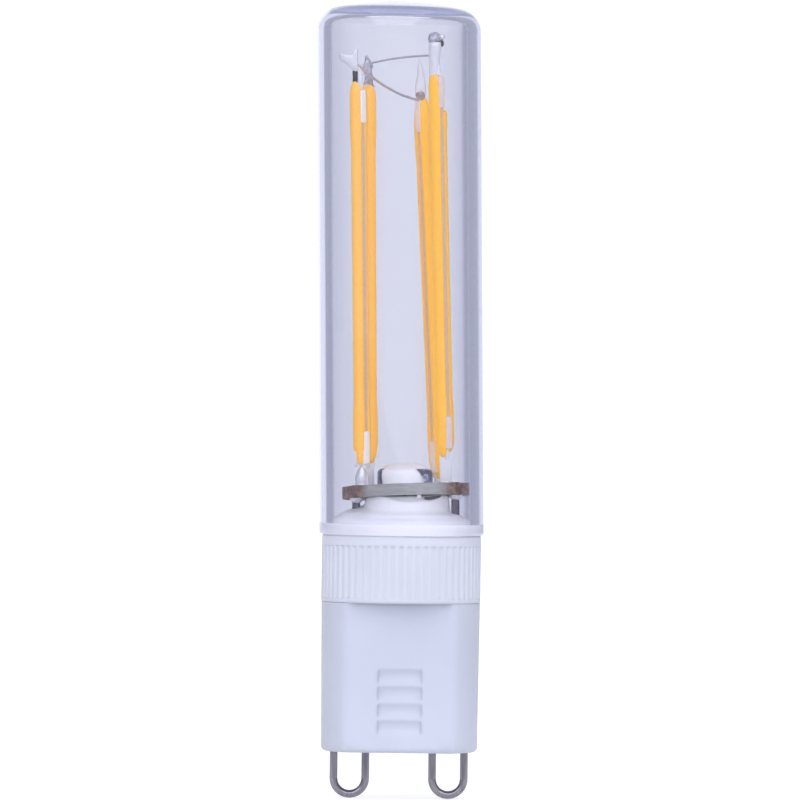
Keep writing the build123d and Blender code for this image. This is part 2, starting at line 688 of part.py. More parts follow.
def foot_solder():
    """Solder around the four tongues on the board. The front left one is drawn up into a drop."""
    joints = Part()
    for name, placing in FILAMENTS.items():
        radius, height = FOOT_SOLDER_RADIUS, SOLDER_HEIGHT
        if name == "front_left":
            radius, height = TEARDROP_RADIUS, TEARDROP_HEIGHT
        side = (radius * DROP_FULLNESS, height * DROP_FULLNESS)
        profile = make_face(Curve() + [
            Line((0, 0), (radius, 0)),
            ThreePointArc((radius, 0), side, (0, height)),
            Line((0, height), (0, 0)),
        ])
        drop = foot_place(placing, 0) * revolve(Plane.XZ * profile, Axis.Z)
        joints += drop - bottom_tab(name) - bead_group(name)
    return joints


def all_pieces():
    """Every piece of the bulb by name."""
    pieces = {
        "base_housing": base_housing(),
        "left_pin": pin(-1),
        "right_pin": pin(1),
        "driver_board": driver_board(),
        "bridge_rectifier": surface_part(RECTIFIER_SIZE, RECTIFIER_SPOT),
        "driver_chip": surface_part(CHIP_SIZE, CHIP_SPOT),
        "fuse_resistor": surface_part(RESISTOR_SIZE, RESISTOR_SPOT),
        "driver_solder": driver_solder(),
        "storage_capacitor": storage_capacitor(),
        "left_feed_lead": feed_lead(LEAD_OFFSET_LEFT),
        "right_feed_lead": feed_lead(LEAD_OFFSET_RIGHT),
        "neck_adhesive": neck_adhesive(),
        "filament_board": filament_board(),
        "lead_solder": lead_solder(),
        "capacitor_adhesive": capacitor_adhesive(),
        "glass_envelope": glass_envelope(),
    }
    for name, placing in FILAMENTS.items():
        frame = filament_frame(placing)
        inner, outer = bead_group(name)
        pieces[name + "_substrate"] = frame * substrate()
        pieces[name + "_inner_bead"] = inner
        pieces[name + "_outer_bead"] = outer
        pieces[name + "_top_tab"] = top_tab(name)
        pieces[name + "_bottom_tab"] = bottom_tab(name)
    pieces["tab_solder"] = tab_solder()
    pieces["foot_solder"] = foot_solder()
    pieces["upper_jumper"] = upper_jumper()
    pieces["lower_jumper"] = lower_jumper()
    return pieces


os.makedirs("parts", exist_ok=True)
for node, piece in all_pieces().items():
    export_step(piece, f"parts/{node}.step")
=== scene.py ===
import math

import bmesh
import bpy
from mathutils import Matrix, Vector, noise


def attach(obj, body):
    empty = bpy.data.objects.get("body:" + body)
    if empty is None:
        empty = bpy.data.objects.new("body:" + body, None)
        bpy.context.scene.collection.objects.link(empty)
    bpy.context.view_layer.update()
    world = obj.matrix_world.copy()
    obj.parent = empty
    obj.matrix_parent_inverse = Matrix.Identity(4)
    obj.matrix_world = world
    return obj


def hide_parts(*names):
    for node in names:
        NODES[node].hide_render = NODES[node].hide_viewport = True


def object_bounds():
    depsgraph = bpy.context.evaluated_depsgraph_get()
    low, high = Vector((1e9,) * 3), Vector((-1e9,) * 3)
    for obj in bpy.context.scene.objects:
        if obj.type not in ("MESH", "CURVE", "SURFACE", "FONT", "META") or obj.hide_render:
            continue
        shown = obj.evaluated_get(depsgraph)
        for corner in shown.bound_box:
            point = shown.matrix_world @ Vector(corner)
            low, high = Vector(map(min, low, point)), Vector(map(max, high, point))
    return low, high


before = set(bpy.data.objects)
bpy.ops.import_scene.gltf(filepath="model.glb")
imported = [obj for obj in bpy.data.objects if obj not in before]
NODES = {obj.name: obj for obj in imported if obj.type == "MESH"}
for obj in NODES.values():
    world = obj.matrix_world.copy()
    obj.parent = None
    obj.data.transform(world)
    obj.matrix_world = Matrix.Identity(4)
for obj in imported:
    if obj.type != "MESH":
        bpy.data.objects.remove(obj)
cad_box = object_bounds()

FILAMENTS = ("front_left", "front_right", "back_left", "back_right")
MM = 0.001

# Seed of the noise behind all lumps and crumples
NOISE_SEED = 5
noise.seed_set(NOISE_SEED)

# Frames, in millimetres and degrees: the glass leans, and the board is tipped in it
SEAT = 19.75
GLASS_LEAN = 1.0
GLASS_RADIUS = 7.563
BORE_RADIUS = 6.315
BOARD_HEIGHT = 4.5
BOARD_THICKNESS = 1.05
BOARD_SHIFT = 0.4
BOARD_PITCH = 3.0
BOARD_ROLL = 1.5
FOOT_RADIUS = 4.615
FILAMENT_LENGTH = 35.0

# Filaments: bearing of the foot, rise over the board, lean of the head, and turn of the strip
PLACINGS = {
    "front_left": {"bearing": 215.0, "rise": 1.85, "lean": (-0.20, 0.25), "turn": 50.0},
    "front_right": {"bearing": -40.0, "rise": 2.35, "lean": (-0.54, -0.20), "turn": 60.0},
    "back_left": {"bearing": 135.0, "rise": 2.0, "lean": (0.0, -0.15), "turn": -25.0},
    "back_right": {"bearing": 48.5, "rise": 0.68, "lean": (-1.40, 0.20), "turn": -52.0},
}

# Glass: a gently domed capsule whose crown sits a little to one side
DOME_OUTSIDE = 48.894
DOME_INSIDE = 47.75
DOME_RADIUS = 24.5
DOME_SHIFT = 0.6
OUTER_CORNER = 2.2
INNER_CORNER = 0.9
RIM_RADIUS = 0.35
BORE_EDGE = 0.02
WALL_HEIGHTS = (44, 43, 32, 20, 8, 1.2)
GLASS_SEGMENTS = 160
ARC_STEPS = 14
RIM_STEPS = 6

# Silicone round the foot of the capacitor. What differs by side is (right, front, left, back)
CAN_SHIFT = 0.25
CAN_RADIUS = 2.55
BOSS_RADII = (4.3, 5.2, 3.2, 4.3)
JUNCTION_HEIGHTS = (1.95, 2.05, 2.72, 2.2)
SLOPE_HEIGHTS = (1.84, 1.85, 2.45, 1.9)
SHELF_HEIGHTS = (1.55, 1.6, 1.93, 1.6)
DIP_DEPTH = 0.6
DIP_MIDDLE = 0.9
DIP_HALF_WIDTH = 2.5
MOUTH_RADIUS = 6.0
MOUTH_DEPTH = 2.35
NECK_LUMPS = 0.05
NECK_LUMP_SIZE = 1.3
NECK_LUMPY_ROWS = range(5, 11)
SILICONE_SEGMENTS = 72
SILICONE_ANGLES = [2 * math.pi * step / SILICONE_SEGMENTS - math.pi for step in range(SILICONE_SEGMENTS)]

# Silicone over the capacitor: a crown of (radius, height), and a skirt between angles from the front
CAP_APEX = 26.37
CAP_CROWN = ((0.8, 26.35), (1.45, 26.26), (1.95, 26.12))
SKIRT_HEIGHTS = (25.78, 25.55, 25.2, 24.8, 24.45, 24.1)
SKIRT_LEFT_EDGE = (-56, -46)
SKIRT_RIGHT_EDGE = (20, 29)
SKIRT_RIGHT_SPREAD = 22
SKIRT_BACK_EDGE = (115, 135)
SKIRT_THICKNESS = 0.30
SKIRT_SWELL = 0.12
SKIRT_LUMPS = 0.06
SKIRT_LUMP_SIZE = 1.1
BARE_DEPTH = 0.2
BARE_TOP_DEPTH = 0.45
BARE_TOP_DROP = 0.06

# Painted shadow: a dark sheet in the gap under the board at the front right. Painted highlight: a white blob
# of silicone to the left of it, put where a highlight shows
GAP_SHADOW_CORNERS = [(2.0, 3.5), (2.7, 3.58), (3.4, 3.66), (3.3, 3.46), (2.65, 3.26), (2.15, 3.26)]
GAP_SHADOW_MIDDLE = (2.6, 3.44)
GAP_SHADOW_DEPTH = -4.5
HIGHLIGHT_BLOB_EDGES = (1.34, 1.74, 3.48, 3.78)
HIGHLIGHT_BLOB_MIDDLE = (1.54, 3.63)
HIGHLIGHT_BLOB_DEPTH = -5.05

# Strips and beads. Each lobe is (lower end, its taper, upper inset, its taper),
# first the one behind the strip and then the one before it
STRIP_SIZE = (1.2, 0.3)
STRIP_INSET = 1.4
STRIP_ROUNDING = 0.03
BEAD_RADIUS = 0.59
BEAD_END_RADIUS = 0.66
BEAD_SWELL = (4.4, 6.0)
LOBES = {
    "front_left": ((0.0, 1.2, 0.15, 1.3), (1.1, 0.45, 0.0, 1.4)),
    "front_right": ((0.3, 1.4, 3.3, 0.5), (0.0, 1.9, 0.0, 1.3)),
    "back_left": ((0.3, 2.4, 0.2, 1.3), (0.3, 2.4, 0.0, 1.3)),
    "back_right": ((0.0, 2.6, 0.5, 2.2), (0.0, 2.6, 0.0, 1.4)),
}
TAPER_STEPS = 8
LOBE_STEPS = 30
LOBE_SEGMENTS = 20
LOW_MIDDLE = 0.06
HIGH_MIDDLE = 0.26
CHIPS = 24
CHIP_SIZE = (0.5, 0.36, 0.7)

# Drop of phosphor under the shorter lobe of the front left filament
TIP_PROFILE = [(0.0, 0.1), (0.12, 0.14), (0.22, 0.3), (0.29, 0.6), (0.3, 1.0), (0.3, 1.5), (0.0, 1.6)]
TIP_MIDDLE = (0.25, -0.4)

# Clips at the ends of the strips, and their distances from the lower and the upper ends of the beads
CLIP_SIZE = (1.46, 0.60, 2.97)
CLIP_ROUNDING = 0.14
CLIP_INSETS = {
    "front_left": (0.14, 0.80),
    "front_right": (0.78, 0.20),
    "back_left": (0.85, 0.85),
    "back_right": (0.55, 0.18),
}

# Sheet heads of the filaments, as (across, up) from the upper end of the beads
FLAG_CORNERS = [
    (-1.50, 2.56), (-1.10, 2.48), (-0.75, 2.47), (-0.48, 2.55), (-0.33, 2.76), (-0.2, 2.98),
    (-0.05, 2.96), (0.0, 2.6), (-0.02, 2.1), (0.0, 1.7), (0.14, 1.3), (0.0, 0.95),
    (-0.35, 0.92), (-0.62, 1.14), (-1.08, 1.62), (-1.52, 1.98), (-1.60, 2.28),
]
FLAG_MIDDLE = (-0.55, 1.9)
FLAG_NECK = (-0.04, 0.40, -0.75, 1.45)
FLAG_NECK_MIDDLE = (0.18, 0.4)
FLAG_FOLD = (-0.5, -0.06, -0.1, 1.0)
FLAG_FOLD_MIDDLE = (-0.28, 0.4)
EYELET_CORNERS = [
    (-0.02, 2.65), (0.24, 2.36), (0.40, 1.95), (0.46, 1.5), (0.45, 0.8), (0.42, 0.2), (0.36, -0.3),
    (-0.28, -0.3), (-0.33, 0.5), (-0.34, 0.9), (-0.52, 1.25), (-0.58, 1.74), (-0.38, 2.12), (-0.24, 2.5),
]
EYELET_MIDDLE = (0.02, 1.3)
LEAF_CORNERS = [
    (-0.04, 3.58), (0.16, 3.15), (0.30, 2.7), (0.42, 2.05), (0.51, 1.3), (0.48, 0.5), (0.28, -0.1),
    (-0.25, -0.1), (-0.48, 0.3), (-0.55, 0.75), (-0.44, 1.45), (-0.27, 2.15), (-0.19, 2.75), (-0.12, 3.2),
]
LEAF_MIDDLE = (0.02, 1.3)
PILLOW_LEVELS = (0.25, 0.5, 0.7, 0.85, 0.95, 1.0)
CRUMPLE_SIZE = 0.5

# Barrel head and its soldered top, as (height, across, radius)
BARREL_SECTIONS = (
    (-0.5, -0.27, 0.43), (0.0, -0.27, 0.43), (0.6, -0.25, 0.45), (1.2, -0.22, 0.48),
    (1.8, -0.17, 0.53), (2.4, -0.13, 0.57), (2.8, -0.14, 0.57),
)
KNOB_SECTIONS = (
    (2.85, -0.2, 0.5), (2.95, -0.2, 0.54), (3.15, -0.2, 0.55), (3.4, -0.2, 0.5),
    (3.6, -0.2, 0.36), (3.7, -0.2, 0.2),
)
KNOB_LUMPS = 0.12
BARREL_LUMP_SIZE = 0.35
BARREL_TIP = 0.03
BARREL_SEGMENTS = 40

# Feet of the filaments: tongues (left, right) down to the board, and an ear by the front left one.
# Stubs join heads and feet to the clips
TONGUES = {
    "front_left": (-0.22, 0.22),
    "front_right": (-0.50, 0.50),
    "back_left": (-0.35, 0.35),
    "back_right": (-0.25, 0.25),
}
TONGUE_TOP = 0.6
TONGUE_THICKNESS = 0.2
TONGUE_DEPTH = -0.05
TONGUE_SINK = 0.1
TONGUE_ROUNDING = 0.08
STUB_SIZE = (0.8, 0.26, 1.3)
STUB_REACH = 0.3
STUB_ROUNDING = 0.06
EAR_EDGES = (-0.70, -0.44, -0.1, 1.3)
EAR_MIDDLE = (-0.57, 0.6)

# Solder, as (radius, height): on the barrel's shoulder, at the leaf's root, and at the feet
BALL_PROFILE = [
    (0.0, 2.98), (0.14, 3.02), (0.25, 3.14), (0.28, 3.27), (0.24, 3.42), (0.13, 3.52), (0.0, 3.55),
]
# Dark blob under the solder ball: painted shade
BALL_SHADE_PROFILE = [(0.0, 2.35), (0.1, 2.4), (0.19, 2.55), (0.21, 2.75), (0.16, 2.92), (0.0, 2.98)]
KNOT_PROFILE = [(0.0, -0.2), (0.24, -0.16), (0.42, 0.0), (0.48, 0.2), (0.40, 0.42), (0.2, 0.56), (0.0, 0.6)]
DROP_PROFILE = [
    (0.0, 0.06), (0.12, -0.02), (0.25, -0.22), (0.42, -0.5), (0.56, -0.85), (0.62, -1.2),
    (0.59, -1.52), (0.57, -1.7), (0.68, -1.88), (0.0, -1.92),
]
FILLET_PROFILE = [(0.0, 0.3), (0.2, 0.28), (0.42, 0.2), (0.6, 0.06), (0.66, -0.03), (0.0, -0.06)]
LUMP_SIZE = 0.45

# Lower jumper, from the flag to the knot at the leaf, in the leaning frame
LOWER_JUMPER = [
    (-3.62, -2.75, 42.92), (-3.3, -2.98, 42.6), (-2.88, -2.7, 42.19), (-2.2, -1.5, 41.59),
    (-1.25, -0.4, 40.96), (-0.03, 0.9, 40.33), (0.92, 2.0, 40.02), (1.6, 2.8, 39.85), (1.8, 3.0, 39.83),
]
JUMPER_RADIUS = 0.115

# Places in the material lists of the heads and feet, of the solder on the heads, and of the neck
BRIGHT, PLATED, PAINTED_DARK, DULL = range(4)
BALL_SHADE = 1
KNOTTED = 2
DARK = 1

# Camera: long lens in front of the bulb, rolled a little
CAMERA_DISTANCE = 0.9
CAMERA_HEIGHT = 0.0321
CAMERA_ACROSS = -0.0003
CAMERA_ROLL = -0.72
FRAME_WIDTH = 0.0731
SENSOR = 36.0

# Floor that bends up into a backdrop, in metres, with a lit card behind the bulb.
# The card's edges are given at the bulb's own distance
FLOOR_HEIGHT = cad_box[0][2]
BACKDROP_DISTANCE = 1.4
STAGE_REACH = 4.0
STAGE_BEND = 0.3
STAGE_STEPS = 12
CARD_SPREAD = 2.8
CARD_LEFT = -0.235
CARD_RIGHT = 0.11
CARD_TOP = 0.16
CARD_FADE = 0.1
CARD_TOP_FADE = 0.3
CARD_START = (-0.06, -0.01)
CARD_GLOW = 0.62
DIM_GLOW = 0.16
LIFT_START = 0.1
FAR_LIFT = 1.3

# Surroundings: strength in front of the bulb, at the shoulders, and at the sides and the back.
# The shoulder starts and is full at squares of the sideways part of a direction
FRONT_FILL = 1.05
SHOULDER_FILL = 0.85
SIDE_FILL = 0.22
SHOULDER_EDGE = (0.1, 0.42)
FRONT_EDGE = (-0.4, 0.15)

# Lamps: place and size in metres, power in watts, and if they show in reflections and through glass
LAMPS = {
    "front_box": ((-0.1, -0.75, 0.75), (1.1, 0.9), 4.5, True),
    "top_box": ((0.0, 0.1, 0.9), (0.7, 0.5), 1.2, True),
    "left_fill": ((-0.8, -0.3, 0.2), (0.6, 0.4), 2.2, False),
    "right_fill": ((0.8, -0.25, 0.2), (0.6, 0.4), 2.4, False),
    "front_fill": ((0.05, -1.0, 0.11), (1.0, 0.2), 5.2, False),
}
LAMP_TARGET = (0, 0, 0.035)

# Depth to which light spreads under white and amber surfaces, in metres
SCATTER_DEPTH = 0.5 * MM

# Sockets of a mix node for an amount and two colours, and for their blend
MIX_SOCKETS = (0, 6, 7)
MIX_RESULT = 2


class Tree:
    """A node tree, with the steps that materials and surroundings share."""

    def __init__(self, tree, coordinates):
        self.nodes = tree.nodes
        self.links = tree.links
        self.place = self.nodes.new("ShaderNodeTexCoord").outputs[coordinates]

    def axis(self, name):
        """Place or direction along one axis."""
        split = self.nodes.new("ShaderNodeSeparateXYZ")
        self.links.new(self.place, split.inputs["Vector"])
        return split.outputs[name]

    def calculate(self, operation, *values):
        """The result of an operation on numbers and outputs of nodes."""
        node = self.nodes.new("ShaderNodeMath")
        node.operation = operation
        for socket, value in zip(node.inputs, values):
            if isinstance(value, (int, float)):
                socket.default_value = value
            else:
                self.links.new(value, socket)
        return node.outputs[0]

    def times(self, first, second):
        return self.calculate("MULTIPLY", first, second)

    def span(self, value, low, high, to_low=0.0, to_high=1.0):
        """Map one range of values onto another, smoothly and without going past its ends."""
        node = self.nodes.new("ShaderNodeMapRange")
        node.interpolation_type = "SMOOTHSTEP"
        for name, number in (("From Min", low), ("From Max", high), ("To Min", to_low), ("To Max", to_high)):
            node.inputs[name].default_value = number
        self.links.new(value, node.inputs["Value"])
        return node.outputs["Result"]


class Material(Tree):
    """A node material with one principled shader, built up by small steps."""

    def __init__(self, name, roughness, metallic=0.0, ior=1.5):
        self.data = bpy.data.materials.new(name)
        self.data.use_nodes = True
        super().__init__(self.data.node_tree, "Object")
        self.shader = self.nodes["Principled BSDF"]
        self.set("Roughness", roughness)
        self.set("Metallic", metallic)
        self.set("IOR", ior)

    def set(self, name, value):
        self.shader.inputs[name].default_value = value

    def noise(self, size, detail=3.0, stretch=(1, 1, 1), distortion=0.0):
        """Noise with features of one size in metres, drawn out along an axis by a stretch."""
        mapping = self.nodes.new("ShaderNodeMapping")
        mapping.inputs["Scale"].default_value = [1 / s for s in stretch]
        self.links.new(self.place, mapping.inputs["Vector"])
        texture = self.nodes.new("ShaderNodeTexNoise")
        texture.inputs["Scale"].default_value = 1 / size
        texture.inputs["Detail"].default_value = detail
        texture.inputs["Distortion"].default_value = distortion
        self.links.new(mapping.outputs["Vector"], texture.inputs["Vector"])
        return texture.outputs["Fac"]

    def ramp(self, value, stops):
        """Colours by value: a list of (position, colour)."""
        node = self.nodes.new("ShaderNodeValToRGB")
        elements = node.color_ramp.elements
        while len(elements) < len(stops):
            elements.new(0.5)
        for element, (position, colour) in zip(elements, stops):
            element.position = position
            element.color = (*colour, 1)
        self.links.new(value, node.inputs["Fac"])
        return node.outputs["Color"]

    def shades(self, value, first, second):
        """Colours from one to another over the middle of a noise."""
        return self.ramp(value, [(0.3, first), (0.7, second)])

    def mix(self, amount, first, second):
        """Blend two colours by an amount."""
        node = self.nodes.new("ShaderNodeMix")
        node.data_type = "RGBA"
        for socket, value in zip(MIX_SOCKETS, (amount, first, second)):
            self.links.new(value, node.inputs[socket])
        return node.outputs[MIX_RESULT]

    def clouds(self, size, first, second, **form):
        """Colour the surface in clouds of one size, from one shade to another."""
        cloud = self.noise(size, **form)
        self.colour(self.shades(cloud, first, second))
        return cloud

    def colour_across(self, low, high, first, second):
        """Colour the surface from one shade to another between two places across the bulb."""
        self.colour(self.mix(self.span(self.axis("X"), low, high), first, second))

    def scatter(self, weight, reach):
        """Let light spread under the surface, with a reach for each colour."""
        self.set("Subsurface Weight", weight)
        self.set("Subsurface Radius", reach)
        self.set("Subsurface Scale", SCATTER_DEPTH)

    # Light given off by a part that is no lamp: painted glow, used on the beads and the clips
    def glow(self, colour, strength):
        self.set("Emission Color", (*colour, 1))
        self.set("Emission Strength", strength)

    def colour(self, value):
        self.links.new(value, self.shader.inputs["Base Color"])

    def roughness(self, cloud, low, high):
        """Roughness from one value to another over the middle of a noise."""
        self.links.new(self.span(cloud, 0.3, 0.7, low, high), self.shader.inputs["Roughness"])

    def let_light_through(self, turns):
        """Let the lamps shine onto what is inside, and let out light that has turned often in the wall."""
        clear = self.nodes.new("ShaderNodeBsdfTransparent")
        path = self.nodes.new("ShaderNodeLightPath")
        trapped = self.calculate("GREATER_THAN", path.outputs["Glossy Depth"], turns)
        leaves = self.calculate("MAXIMUM", path.outputs["Is Shadow Ray"], trapped)
        either = self.nodes.new("ShaderNodeMixShader")
        self.links.new(leaves, either.inputs["Fac"])
        self.links.new(self.shader.outputs["BSDF"], either.inputs[1])
        self.links.new(clear.outputs["BSDF"], either.inputs[2])
        self.links.new(either.outputs["Shader"], self.nodes["Material Output"].inputs["Surface"])

    def tint_inside(self, colour, density):
        """Take light away along its path through the solid, so that thicker glass looks darker."""
        depth = self.nodes.new("ShaderNodeVolumeAbsorption")
        depth.inputs["Color"].default_value = (*colour, 1)
        depth.inputs["Density"].default_value = density
        self.links.new(depth.outputs["Volume"], self.nodes["Material Output"].inputs["Volume"])

    def bump(self, size, height, strength=1.0, **form):
        """Raise the surface in bumps of one size, to a height in metres."""
        node = self.nodes.new("ShaderNodeBump")
        node.inputs["Distance"].default_value = height
        node.inputs["Strength"].default_value = strength
        self.links.new(self.noise(size, **form), node.inputs["Height"])
        self.links.new(node.outputs["Normal"], self.shader.inputs["Normal"])
        return node

    def soften(self, bump, radius):
        """Round the edges off in the light, below a bump, by a radius that may change over the surface."""
        node = self.nodes.new("ShaderNodeBevel")
        node.samples = 8
        self.links.new(radius, node.inputs["Radius"])
        self.links.new(node.outputs["Normal"], bump.inputs["Normal"])


def white_plastic():
    material = Material("white_plastic", roughness=0.42)
    cloud = material.noise(6 * MM)
    body = material.shades(cloud, (0.355, 0.377, 0.472), (0.375, 0.397, 0.494))
    # Painted light: the collar is painted lighter than the body below it, for the light its ribs catch
    painted_lit_collar = material.shades(cloud, (0.418, 0.433, 0.522), (0.44, 0.455, 0.545))
    on_collar = material.span(material.axis("Z"), 13.3 * MM, 14.0 * MM)
    material.colour(material.mix(on_collar, body, painted_lit_collar))
    material.roughness(material.noise(0.8 * MM), 0.38, 0.5)
    across = material.axis("X")
    off_middle = material.times(across, across)
    body_rounding = material.span(off_middle, (3.0 * MM) ** 2, (4.4 * MM) ** 2, 0.5 * MM, 1.3 * MM)
    rib_rounding = material.span(off_middle, (3.5 * MM) ** 2, (6.5 * MM) ** 2, 0.5 * MM, 0.15 * MM)
    rounding = material.mix(on_collar, body_rounding, rib_rounding)
    material.soften(material.bump(0.12 * MM, 0.004 * MM), rounding)
    material.scatter(0.15, (1.0, 1.0, 1.0))
    return material.data


def pin_wire():
    material = Material("pin_wire", roughness=0.2, metallic=1.0)
    streaks = material.clouds(0.25 * MM, (0.21, 0.20, 0.24), (0.30, 0.29, 0.33), stretch=(1, 1, 9))
    material.roughness(streaks, 0.05, 0.1)
    material.bump(0.1 * MM, 0.0006 * MM, stretch=(1, 1, 12))
    return material.data


def clear_glass():
    material = Material("clear_glass", roughness=0.0, ior=1.47)
    material.set("Transmission Weight", 1.0)
    material.clouds(18 * MM, (0.79, 0.795, 0.828), (0.80, 0.805, 0.838))
    material.bump(9 * MM, 0.05 * MM, 0.3, detail=1.0, stretch=(1, 1, 3))
    material.let_light_through(turns=2.5)
    material.tint_inside((0.28, 0.33, 0.76), 95)
    return material.data


def phosphor():
    material = Material("phosphor", roughness=0.36)
    speckle = material.noise(0.16 * MM)
    # Painted shade: beads on the right side of the bulb get a deeper amber, the colour of a bead's shaded
    # side
    paler = material.shades(speckle, (0.95, 0.50, 0.075), (0.99, 0.58, 0.11))
    painted_shade_amber = material.shades(speckle, (0.98, 0.49, 0.03), (1.0, 0.57, 0.05))
    material.colour_across(-2 * MM, 2 * MM, paler, painted_shade_amber)
    material.bump(0.5 * MM, 0.02 * MM, 0.6)
    material.scatter(0.5, (1.0, 0.55, 0.12))
    # Painted glow: the unlit beads give off a little amber light of their own
    material.glow((1.0, 0.42, 0.03), 0.29)
    material.set("Coat Weight", 0.5)
    material.set("Coat Roughness", 0.22)
    return material.data


def strip_ceramic():
    material = Material("strip_ceramic", roughness=0.5)
    material.clouds(0.2 * MM, (0.80, 0.50, 0.36), (0.90, 0.62, 0.46))
    material.bump(0.1 * MM, 0.01 * MM)
    return material.data


def tab_metal():
    material = Material("tab_metal", roughness=0.24, metallic=0.4)
    cloud = material.noise(0.8 * MM, distortion=0.3)
    material.colour(material.ramp(cloud, [(0.25, (0.92, 0.91, 0.93)), (0.6, (0.99, 0.99, 0.99))]))
    material.roughness(cloud, 0.28, 0.42)
    material.bump(0.5 * MM, 0.003 * MM, 0.5)
    return material.data


def clip_plate():
    """Dull white tin on the clips that grip the strips. Clips on the right side of the bulb are painted
    darker and pinker as shade, and all clips get a painted glow.
    """
    material = Material("clip_plate", roughness=0.42)
    cloud = material.noise(0.5 * MM)
    paler = material.shades(cloud, (0.95, 0.91, 0.86), (0.98, 0.94, 0.89))
    painted_shade_tin = material.shades(cloud, (0.77, 0.64, 0.59), (0.82, 0.69, 0.64))
    material.colour_across(-2 * MM, 2 * MM, paler, painted_shade_tin)
    material.bump(0.2 * MM, 0.008 * MM, 0.6)
    material.glow((1.0, 0.78, 0.5), 0.16)
    return material.data


def dull_tin():
    """Greyer, crumpled and rough tin."""
    material = Material("dull_tin", roughness=0.36, metallic=0.7)
    cloud = material.noise(0.35 * MM, distortion=0.8)
    material.colour(material.ramp(cloud, [(0.3, (0.36, 0.36, 0.43)), (0.65, (0.80, 0.80, 0.86))]))
    material.bump(0.18 * MM, 0.05 * MM, 0.8)
    return material.data


def painted_shade_metal():
    """Painted shade: dark sheets and blobs put in the flag's fold, in the gap under the board and under the
    barrel's solder ball.
    """
    material = Material("painted_shade_metal", roughness=0.35, metallic=0.2)
    material.clouds(0.25 * MM, (0.03, 0.025, 0.04), (0.09, 0.07, 0.09))
    material.bump(0.15 * MM, 0.03 * MM)
    return material.data


def copper_knot():
    """Tinned copper that shows pink."""
    material = Material("copper_knot", roughness=0.34, metallic=1.0)
    material.clouds(0.3 * MM, (0.52, 0.34, 0.28), (0.88, 0.80, 0.80), distortion=0.5)
    material.bump(0.2 * MM, 0.03 * MM, 0.7)
    return material.data


def solder():
    material = Material("solder", roughness=0.2, metallic=0.6)
    cloud = material.clouds(0.6 * MM, (0.80, 0.79, 0.82), (0.95, 0.95, 0.96), distortion=0.3)
    material.roughness(cloud, 0.14, 0.24)
    material.bump(0.4 * MM, 0.012 * MM, 0.6)
    return material.data


def jumper_wire(name, grey_from, grey_at):
    """Tinned copper wire, grey, painted pink on one side as a reflection of the amber beads; the pink goes
    over to grey between two places across the bulb.
    """
    material = Material(name, roughness=0.4, metallic=0.45)
    streaks = material.noise(0.3 * MM)
    pink = material.shades(streaks, (0.60, 0.44, 0.43), (0.78, 0.64, 0.63))
    grey = material.shades(streaks, (0.46, 0.45, 0.51), (0.62, 0.61, 0.67))
    material.colour_across(grey_from, grey_at, pink, grey)
    material.bump(0.1 * MM, 0.008 * MM, stretch=(6, 1, 1))
    return material.data


def silicone():
    material = Material("silicone", roughness=0.38)
    material.clouds(1.6 * MM, (0.94, 0.945, 0.96), (0.97, 0.975, 0.985))
    material.bump(1.1 * MM, 0.12 * MM, 0.5)
    material.scatter(0.3, (1.0, 1.0, 1.0))
    return material.data


def board_laminate():
    material = Material("board_laminate", roughness=0.5)
    fibres = material.noise(0.3 * MM, stretch=(4, 4, 1))
    base = material.shades(fibres, (0.34, 0.34, 0.315), (0.49, 0.485, 0.46))
    scorch = [(0.3, (0.05, 0.028, 0.025)), (0.5, (0.19, 0.10, 0.072)), (0.72, (0.42, 0.26, 0.18))]
    brown = material.ramp(material.noise(0.5 * MM), scorch)
    end_left = material.span(material.axis("X"), -3.9 * MM, -2.7 * MM, 1.0, 0.0)
    end_right = material.span(material.axis("X"), 3.0 * MM, 4.4 * MM)
    left_browned = material.mix(material.times(end_left, 0.92), base, brown)
    material.colour(material.mix(material.times(end_right, 0.95), left_browned, brown))
    material.bump(0.12 * MM, 0.02 * MM, stretch=(5, 5, 1))
    return material.data


def can_sleeve():
    material = Material("can_sleeve", roughness=0.18)
    cloud = material.noise(0.7 * MM, distortion=0.5)
    # Painted highlights: white specks in the colour stand for glints on the glossy sleeve
    painted_glints = [(0.4, (0.03, 0.035, 0.08)), (0.58, (0.14, 0.16, 0.27)), (0.7, (0.85, 0.88, 1.0))]
    material.colour(material.ramp(cloud, painted_glints))
    material.set("Coat Weight", 0.6)
    material.bump(0.6 * MM, 0.06 * MM)
    return material.data


def black_moulding():
    material = Material("black_moulding", roughness=0.5)
    material.clouds(0.4 * MM, (0.012, 0.012, 0.013), (0.02, 0.02, 0.022))
    material.bump(0.08 * MM, 0.01 * MM)
    return material.data


